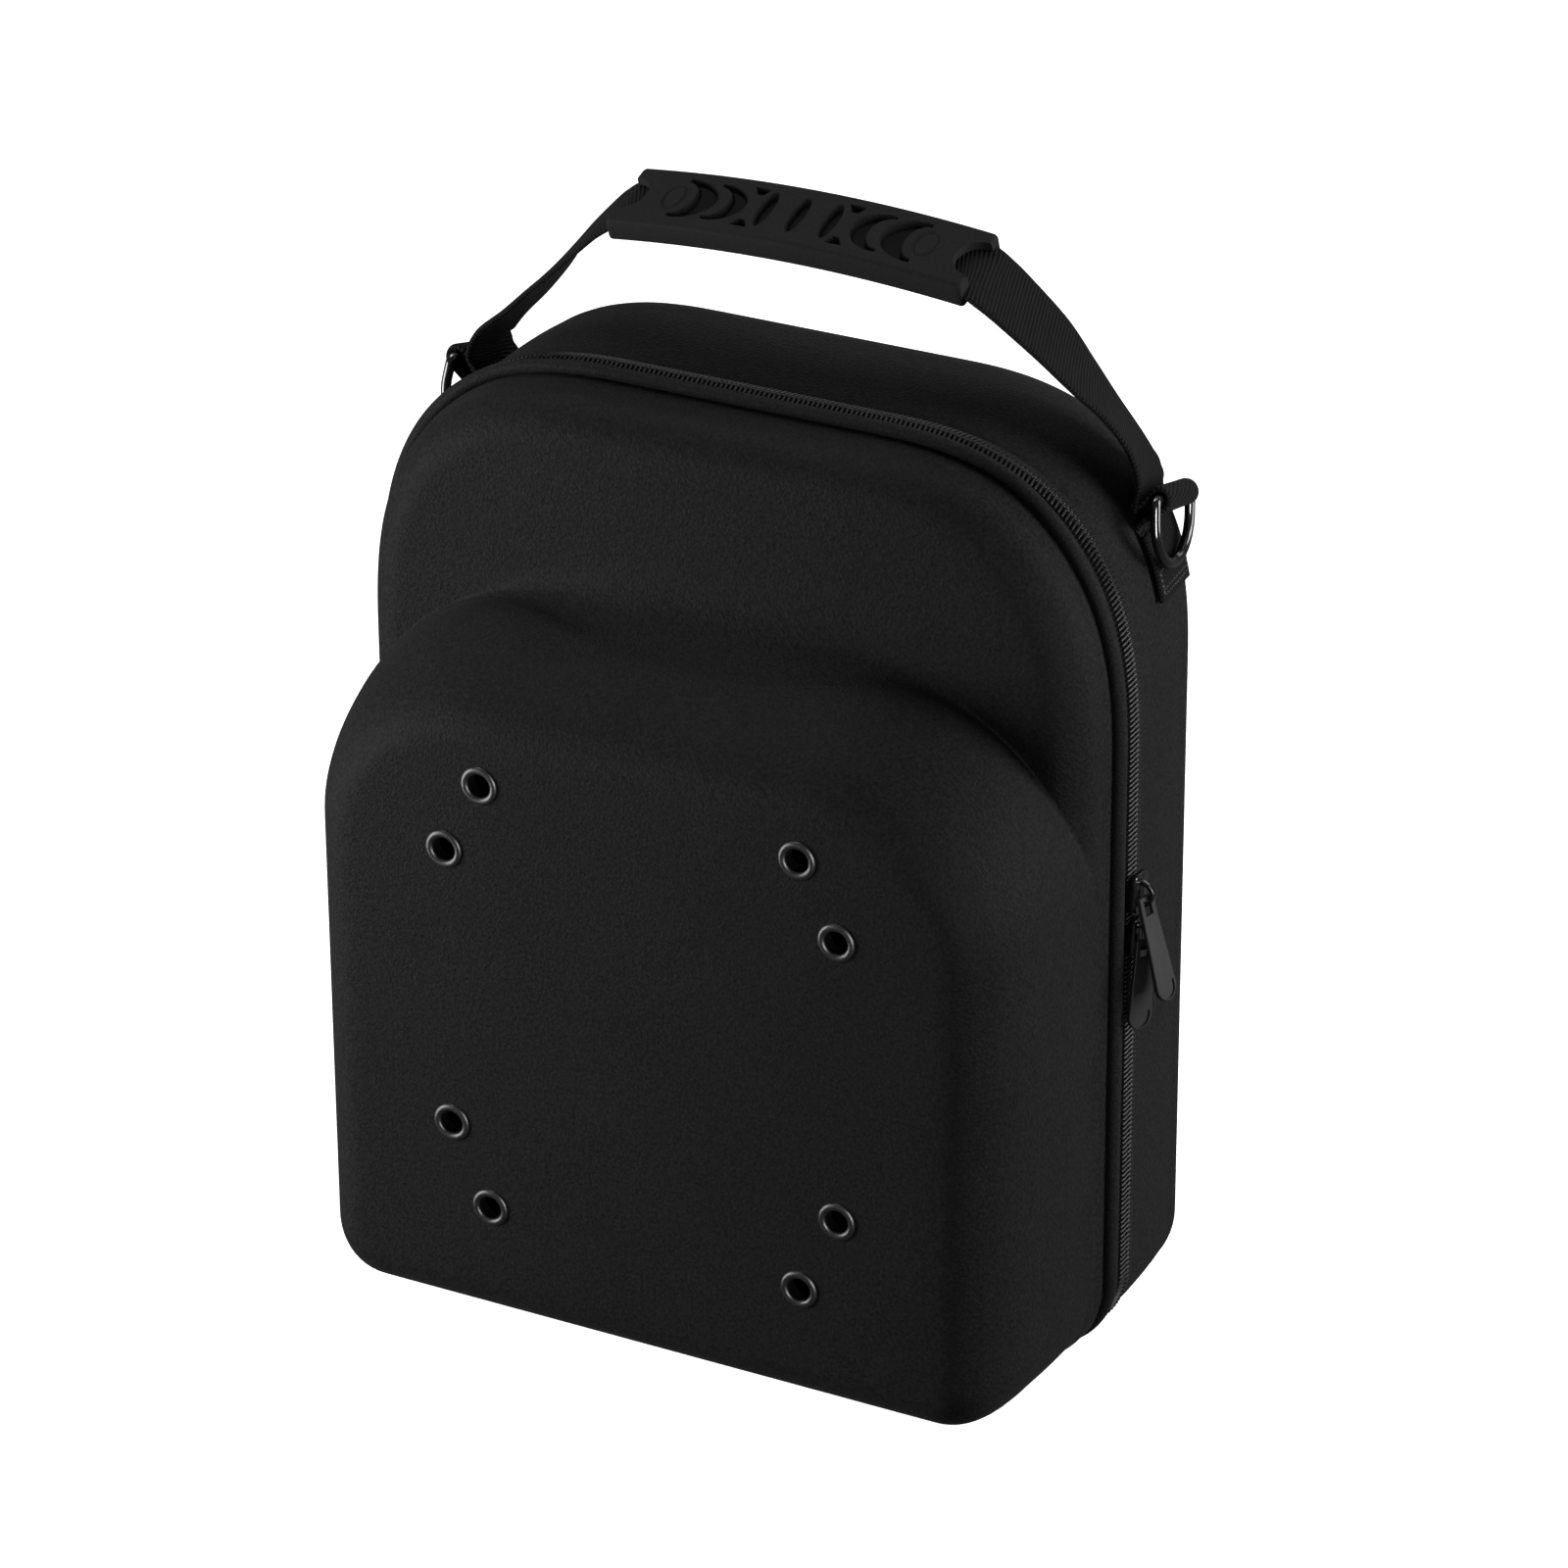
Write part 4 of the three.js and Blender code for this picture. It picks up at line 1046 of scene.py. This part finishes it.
def slider(name, up):
    """A zip slider: a rounded body with side lips, a nose and an arched bail."""
    origin = np.array((ZIP_HALF_WIDTH, ZIP_Y, up))
    outward = ((0, 1, 0), (0, 0, 1), (1, 0, 0))
    outline = arc(*SLIDER_NOSE, 180, 360, 12)
    outline += arc(*SLIDER_NEAR_CORNER, 0, 90, 6)
    outline += arc(*SLIDER_FAR_CORNER, 90, 180, 6)
    basis = basis_from(origin + SLIDER_PLACE, *outward)
    pieces = [plate(f"slider_{name}_body", [outline], *SLIDER_PLATE, basis, METAL)]
    for side in (-1, 1):
        basis = basis_from(origin + LIP_PLACE * (1, side, 1), *outward)
        lip = plate(f"slider_lip_{name}", [straight_sided(*LIP_OUTLINE)], *LIP_PLATE, basis, METAL)
        pieces.append(lip)
    bail = [arc(*BAIL_OUTSIDE, 0, 180, 20), arc(*BAIL_INSIDE, 0, 180, 16)]
    basis = basis_from(origin, (0, 0, 1), (1, 0, 0), (0, 1, 0))
    pieces.append(plate(f"slider_bail_{name}", bail, *BAIL_PLATE, basis, METAL))
    settle(join(pieces), [f"slider_{name}"], sharp=PLATE_SHARP)


def puller(name, up, lean, twist, swing, length):
    """A hanging puller: an eye round the bail, a plate that widens and a finger dish at its round end."""
    leant, twisted, swung = (math.radians(a) for a in (lean, twist, swing))
    origin = np.array((ZIP_HALF_WIDTH + PULLER_AXIS_OUT, ZIP_Y + PULLER_SHIFT, up + PULLER_AXIS_UP))
    hang = np.array((-math.sin(leant), 0, math.cos(leant)))
    straight_out = np.array((math.cos(leant), 0, math.sin(leant)))
    to_rear = np.array((0, 1, 0))
    across = math.cos(twisted) * to_rear + math.sin(twisted) * straight_out
    outward = math.cos(twisted) * straight_out - math.sin(twisted) * to_rear
    across, hang = (
        math.cos(swung) * across - math.sin(swung) * hang,
        math.cos(swung) * hang + math.sin(swung) * across,
    )
    basis = basis_from(origin, across, hang, outward)
    outlines = [straight_sided(*EYE_OUTLINE), straight_sided(*EYE_WINDOW)]
    eye = plate(f"puller_{name}_tab", outlines, *EYE_PLATE, basis, SATIN_METAL)
    neck_half, neck = PULLER_NECK
    end_half, end_reach = PULLER_END
    centre = end_reach - length
    outline = [(neck_half, neck), (-neck_half, neck)]
    outline += arc(0, centre, end_half, end_reach, 180, 360, 18)
    tab = plate(f"puller_plate_{name}", [outline], *PULLER_PLATE, basis, SATIN_METAL)
    low, high = DISH_EDGE
    dish = [(-DISH_RADIUS, centre + low), (DISH_RADIUS, centre + high)]
    dish += arc(0, centre - DISH_DROP, DISH_RADIUS, DISH_RADIUS, 0, -180, 16)
    basis = basis_from(origin + outward * DISH_OUT, across, hang, outward)
    scoop = plate(f"puller_scoop_{name}", [dish], *SCOOP_PLATE, basis, SATIN_METAL)
    piece = join([eye, cut(tab, scoop)])
    settle(piece, [f"puller_{name}"], body=f"{name}_puller", sharp=PLATE_SHARP)


def ring(name, side):
    """A round wire bent to a straight bar and a bow, which hangs from the bar in the webbing's loop."""
    bar = RING_HALF_WIDTH - RING_CORNER
    flat = arc(bar, -RING_CORNER, RING_CORNER, RING_CORNER, 90, 0, RING_CORNER_STEPS)
    bow = RING_HALF_WIDTH - RING_DROP
    flat += arc(0, bow, RING_HALF_WIDTH, RING_HALF_WIDTH, 0, -180, RING_BOW_STEPS)
    flat += arc(-bar, -RING_CORNER, RING_CORNER, RING_CORNER, 180, 90, RING_CORNER_STEPS)
    flat += [(y, 0) for y in np.linspace(-bar, bar, RING_BAR_POINTS)[1:-1]]
    turn = np.array(
        Matrix.Rotation(math.radians(side * BAR_YAW), 3, "Z")
        @ Matrix.Rotation(math.radians(BAR_TILT), 3, "X")
        @ Matrix.Rotation(math.radians(-side * RING_LEAN), 3, "Y")
    )
    place = BAR_PLACE * (side, 1, 1) + (0, ZIP_Y, 0)
    line = np.array([turn @ (0, y, z) + place for y, z in flat])
    tangent = unit(np.roll(line, -1, axis=0) - np.roll(line, 1, axis=0))
    sideways = turn @ (-1, 0, 0)
    out = np.cross(tangent, sideways)
    turns = full_turn(WIRE_SIDES)
    circle = np.outer(np.cos(turns), sideways) + np.sin(turns)[:, None] * out[:, None, :]
    piece = solid(f"d_ring_{name}", line[:, None, :] + RING_WIRE * circle, METAL, closed=True)
    settle(piece, [f"ring_{name}"], body=f"{name}_ring")


# Handle
def rear_side_x(depth, z):
    """Where the rear shell's right-hand side lies, at one depth behind the zip and one height."""
    _, half, top, _ = (np.interp(depth, REAR_ROWS[:, 0], REAR_ROWS[:, k]) for k in range(4))
    inset = HALF_WIDTH - half
    corner_x, corner_z = CORNER_X - inset, CORNER_Z - inset
    climb = max(0.0, (z - top + corner_z) / corner_z)
    return half - corner_x + corner_x * (1 - climb ** CORNER_POWER) ** (1 / CORNER_POWER)


def grip_point(x, lift, shift=0.0):
    """A place on the grip: across, above its middle surface, and along the webbing's width."""
    tilt = math.radians(GRIP_TILT)
    rise = lift - GRIP_SAG * (np.asarray(x) / GRIP_HALF_LENGTH) ** 2
    y = ZIP_Y + GRIP_DEPTH - rise * math.sin(tilt) + shift * math.cos(tilt)
    z = GRIP_UP + rise * math.cos(tilt) + shift * math.sin(tilt)
    return np.stack(np.broadcast_arrays(x, y, z), axis=-1)


def across_band(yaw, tilt):
    """The direction across the webbing, towards its far edge, from angles in degrees."""
    yaw, tilt = np.radians(yaw), np.radians(tilt)
    return np.stack([-np.sin(yaw) * np.cos(tilt), np.cos(yaw) * np.cos(tilt), np.sin(tilt)], axis=-1)


def tab_seat(z):
    """Where the webbing's middle lies on the shell's side, and the direction out of it."""
    x = rear_side_x(STRAP_Y, z)
    slope = rear_side_x(STRAP_Y, z - 1) - x
    return x + STRAP_SEAT * math.hypot(1, slope), np.array((1.0, 0.0, slope)) / math.hypot(1, slope)


def strap_rows():
    """The webbing from the left tab over the grip to the right tab: place, yaw and tilt."""
    tab = [(tab_seat(z)[0], STRAP_Y, z, TAB_YAW, 0.0) for z in TAB_HEIGHTS]
    bar = across_band(BAR_YAW, BAR_TILT)
    out = unit(np.array((1.0, 0.0, 0.0)) - bar * bar[0])
    rise = np.cross(out, bar)
    loop = []
    for t in np.radians(LOOP_RISE + np.linspace(-90, 90, LOOP_STEPS + 1)):
        place = BAR_PLACE + LOOP_RADIUS * (math.cos(t) * out + math.sin(t) * rise)
        loop.append((*place, BAR_YAW, BAR_TILT))
    fold = [*tab, *LOOP_FOOT, *loop, *LOOP_HEAD]
    held = [(*(grip_point(x, 0.0) - (0, ZIP_Y, 0)), 0.0, GRIP_TILT) for x in GRIP_STOPS]
    right = np.array([*fold, *RIGHT_ARCH, *held])
    left = np.array([*fold, *LEFT_ARCH, *held[:-1]]) * (-1, 1, 1, -1, 1)
    rows = np.vstack([left, right[::-1]])
    rows[:, 1] += ZIP_Y
    return rows


def ribbon_rings(rows, section):
    """Rings of a flat section, as (across, out) pairs, along the webbing's rows."""
    line = rows[:, :3]
    along = unit(np.gradient(line, axis=0))
    across = across_band(rows[:, 3], rows[:, 4])
    across = unit(across - along * np.einsum("ij,ij->i", across, along)[:, None])
    out = np.cross(along, across)
    return (
        line[:, None, :] + section[None, :, 0, None] * across[:, None, :]
        + section[None, :, 1, None] * out[:, None, :]
    )


def strap_section(half_width, half_thick, spans):
    """A flat section with rounded edges, its long sides divided for the weave."""
    flat = half_width - half_thick
    across = np.linspace(flat, -flat, spans + 1)
    points = [(u, half_thick) for u in across]
    points += arc(-flat, 0, half_thick, half_thick, 135, 225, 2)
    points += [(u, -half_thick) for u in across[::-1]]
    points += arc(flat, 0, half_thick, half_thick, -45, 45, 2)
    return np.array(points)


def handle_strap():
    """The webbing in one length, with its width and length mapped for the weave."""
    rows = through(strap_rows(), STRAP_STEPS)
    rows = resample(rows, int(distance_along(rows[:, :3])[-1] / STRAP_PITCH))
    section = strap_section(STRAP_WIDTH / 2, STRAP_THICKNESS / 2, STRAP_SPANS)
    piece = solid("carry_webbing", ribbon_rings(rows, section), WEBBING)
    along = distance_along(rows[:, :3])[:, None]
    weave = np.stack(np.broadcast_arrays(section[:, 0], along), axis=-1).reshape(-1, 2)
    corners = np.empty(len(piece.data.loops), dtype=np.int32)
    piece.data.loops.foreach_get("vertex_index", corners)
    layer = piece.data.uv_layers.new(name="strap")
    layer.data.foreach_set("uv", weave[corners].ravel())
    settle(piece, ["handle_strap"], sharp=WEBBING_SHARP)


def inside_ellipse(x, w, centre, half_x, half_w):
    """Rough distance into an ellipse, in millimetres: positive inside."""
    reach = np.hypot((x - centre) / half_x, w / half_w)
    return (1 - reach) * min(half_x, half_w)


def grip_relief(x, w):
    """How deep the grip's pattern is let into its top, at each place."""
    x = np.abs(x)
    wide = np.abs(w)
    shapes = [inside_ellipse(x, w, centre, *PATTERN_SLOT_HALF) for centre in PATTERN_SLOTS]
    for tip, outer, thick, reach in CRESCENTS:
        inner_tip = tip + CRESCENT_SHIFT
        big = inside_ellipse(x, w, tip, tip - outer, reach)
        small = inside_ellipse(x, w, inner_tip, inner_tip - outer - thick, reach * CRESCENT_NARROWING)
        shapes.append(np.minimum(np.minimum(big, -small), tip + CRESCENT_CUT - x))
    near, far = WEDGE_EDGES
    ends = WEDGE_HALF - np.abs(x - WEDGE_PLACE) - WEDGE_SLOPE * (far - wide)
    shapes.append(np.minimum(np.minimum(wide - near, far - wide), ends))
    rim = np.abs(inside_ellipse(x, w, *BUTTON))
    groove = GROOVE_DEPTH * np.clip(1 - rim / GROOVE_HALF_WIDTH, 0, 1)
    deep = np.max(shapes, axis=0)
    return RECESS * np.clip(deep / RECESS_SPAN + RECESS_AT_EDGE, 0, 1) + groove


def grip_section():
    """The grip's section as (shift, up): a finely divided top, round corners and a plain base."""
    flat_w, flat_t = GRIP_HALF_WIDTH - GRIP_CORNER, GRIP_HALF_THICK - GRIP_CORNER
    corner = (GRIP_CORNER, GRIP_CORNER)
    points = [(w, GRIP_HALF_THICK) for w in np.linspace(flat_w, -flat_w, GRIP_TOP_POINTS)]
    points += arc(-flat_w, flat_t, *corner, 90, 180, GRIP_CORNER_STEPS)
    points += arc(-flat_w, -flat_t, *corner, 180, 270, GRIP_CORNER_STEPS)
    points += [(w, -GRIP_HALF_THICK) for w in np.linspace(-flat_w, flat_w, GRIP_BASE_POINTS)[1:-1]]
    points += arc(flat_w, -flat_t, *corner, 270, 360, GRIP_CORNER_STEPS)
    points += arc(flat_w, flat_t, *corner, 0, 90, GRIP_CORNER_STEPS)
    section = np.array(points)
    distinct = np.linalg.norm(section - np.roll(section, 1, axis=0), axis=1) > SAME_PLACE
    return section[distinct]


def grip():
    """The moulded grip, with its pattern, a slot for the webbing and a round notch at each end."""
    section = grip_section()
    top = section[:, 1] > GRIP_HALF_THICK - SAME_PLACE
    from_end, inset = GRIP_END_ROWS.T
    reach = GRIP_HALF_LENGTH - GRIP_END
    middle = np.linspace(-reach, reach, GRIP_MIDDLE_STOPS)
    stops = np.concatenate([from_end - GRIP_HALF_LENGTH, middle, GRIP_HALF_LENGTH - from_end[::-1]])
    shrink = np.concatenate([inset, np.zeros(GRIP_MIDDLE_STOPS), inset[::-1]])
    rings, depths = [], []
    for x, less in zip(stops, shrink):
        shift = section[:, 0] * (1 - less / GRIP_HALF_WIDTH)
        up = section[:, 1] * (1 - less / GRIP_HALF_THICK)
        depth = np.where(top, grip_relief(np.full_like(shift, x), shift), 0)
        rings.append(grip_point(x, up - depth, shift))
        depths.append(depth)
    piece = solid("rubber_grip", np.array(rings), RUBBER)
    # How deep each point lies in the pattern, which sets the painted shade on its floors
    recess_shade = piece.data.attributes.new("recess_shade", "FLOAT", "POINT")
    recess_shade.data.foreach_set("value", (np.array(depths) / RECESS).clip(0, 1).ravel())
    rows = through(strap_rows(), SLOT_STEPS)
    above = rows[:, 2] > BAR_PLACE[2] + SLOT_RISE
    rows = rows[above & (np.abs(rows[:, 0]) < GRIP_HALF_LENGTH + SLOT_REACH)]
    slot = strap_section(STRAP_WIDTH / 2 + GRIP_CLEARANCE, STRAP_THICKNESS / 2 + GRIP_CLEARANCE, SLOT_SPANS)
    cut(piece, solid("grip_slot", ribbon_rings(rows, slot), RUBBER))
    turns = full_turn(NOTCH_SIDES)
    w = GRIP_NOTCH * np.sin(turns)
    for side in (-1, 1):
        x = side * (GRIP_HALF_LENGTH + NOTCH_BEYOND) + GRIP_NOTCH * np.cos(turns)
        notch = np.array([grip_point(x, lift, w) for lift in (0.0, NOTCH_LIFT)])
        cut(piece, solid("grip_notch", notch, RUBBER))
    settle(piece, ["handle_grip"], sharp=GRIP_SHARP)


# Stitches that hold the webbing's tabs
def tab_surface(z, shift):
    """A place on the right-hand tab's face, and the direction out of it."""
    x, out = tab_seat(z)
    slant = math.tan(math.radians(TAB_YAW)) * shift
    return np.array((x - slant, ZIP_Y + STRAP_Y + shift, z)) + out * STRAP_THICKNESS / 2, out


def stitch(start, end, outward):
    """A short rounded thread between two points of a seam, as points and faces."""
    along = unit(end - start)
    across = np.cross(outward, along)
    turns = full_turn(STITCH_SIDES)
    circle = STITCH_RADIUS * (np.outer(np.cos(turns), across) + np.outer(np.sin(turns), outward))
    rings = []
    for at, size, lift in STITCH_STATIONS:
        centre = (start + end) / 2 + along * at * STITCH_LENGTH + outward * lift * STITCH_RADIUS * 2
        rings.append(centre + size * circle)
    return tube(np.array(rings))


def tab_stitches():
    """A sewn box with a bar near its foot on each webbing tab."""
    across = np.linspace(-STITCH_ROW_HALF, STITCH_ROW_HALF, STITCH_ROW_POINTS)
    climb = np.arange(STITCH_HEIGHTS[0], STITCH_HEIGHTS[-1], STITCH_SEAM_STEP)
    seams = [[(z, shift) for shift in across] for z in STITCH_HEIGHTS]
    seams += [[(z, shift) for z in climb] for shift in (-STITCH_SEAM, STITCH_SEAM)]
    for name, side in (("left", -1), ("right", 1)):
        flip = np.array((side, 1, 1))
        threads = []
        for seam in seams:
            run = [tab_surface(z, shift) for z, shift in seam]
            points = [point * flip for point, _ in run]
            outward = run[len(run) // 2][1] * flip
            threads += [stitch(start, end, outward) for start, end in zip(points[:-1], points[1:])]
        piece = make_mesh(f"tab_stitches_{name}", *gather(threads), THREAD)
        settle(piece)


# Stage
def area_light(name, place, aim, size, power, glossy_only):
    """A rectangular light turned to its aim; a glossy-only one shows in reflections alone."""
    data = bpy.data.lights.new(name, "AREA")
    data.shape = "RECTANGLE"
    data.size, data.size_y = size
    data.energy = power
    light = add_object(name, data)
    light.visible_diffuse = not glossy_only
    light.location = place
    away = (np.array(place) - np.array(aim)).tolist()
    light.rotation_euler = Vector(away).to_track_quat("Z", "Y").to_euler()


def floor():
    """A wide pale floor whose glow keeps it an even white and doesn't light the case from below."""
    mesh = bpy.data.meshes.new("floor")
    corners = [(FLOOR_REACH * x, FLOOR_REACH * y, 0) for x, y in ((-1, -1), (1, -1), (1, 1), (-1, 1))]
    mesh.from_pydata(corners, [], [(0, 1, 2, 3)])
    material, shader = new_material("floor", roughness=0.9, specular=0.1)
    shader.inputs["Base Color"].default_value = (FLOOR_TONE, FLOOR_TONE, FLOOR_TONE, 1)
    shader.inputs["Emission Color"].default_value = (1, 1, 1, 1)
    shader.inputs["Emission Strength"].default_value = FLOOR_GLOW
    piece = add_piece("floor", mesh, material)
    piece.location.z = -FLOOR_DROP
    piece.visible_diffuse = False
    piece.visible_glossy = False


def stage():
    """The pale floor, soft studio light and an even surround."""
    scene = bpy.context.scene
    scene.view_settings.view_transform = "Standard"
    scene.world = bpy.data.worlds.new("studio")
    scene.world.use_nodes = True
    surround = scene.world.node_tree.nodes["Background"]
    surround.inputs["Color"].default_value = (1, 1, 1, 1)
    surround.inputs["Strength"].default_value = WORLD_STRENGTH
    floor()
    for name, light in LIGHTS.items():
        area_light(name, *light)


def camera():
    """The photograph's view."""
    data = bpy.data.cameras.new("camera")
    data.lens = CAMERA_LENS
    data.sensor_width = CAMERA_SENSOR
    data.clip_end = CAMERA_REACH
    holder = add_object("camera", data)
    holder.matrix_world = (
        Matrix.Translation(CAMERA_AIM * MM)
        @ Matrix.Rotation(math.radians(CAMERA_AZIMUTH), 4, "Z")
        @ Matrix.Rotation(math.radians(90 - CAMERA_ELEVATION), 4, "X")
        @ Matrix.Rotation(math.radians(-CAMERA_ROLL), 4, "Z")
        @ Matrix.Translation((0, 0, CAMERA_DISTANCE * MM))
    )
    bpy.context.scene.camera = holder


zip_line = ZipLine()
front_shell()
rear_shell()
piping(zip_line)
zip_teeth(zip_line)
zip_strips(zip_line)
eyelets()
for slider_name, (slider_up, *puller_form) in SLIDERS.items():
    slider(slider_name, slider_up)
    puller(slider_name, slider_up, *puller_form)
handle_strap()
grip()
tab_stitches()
ring("left", -1)
ring("right", 1)
stage()
camera()
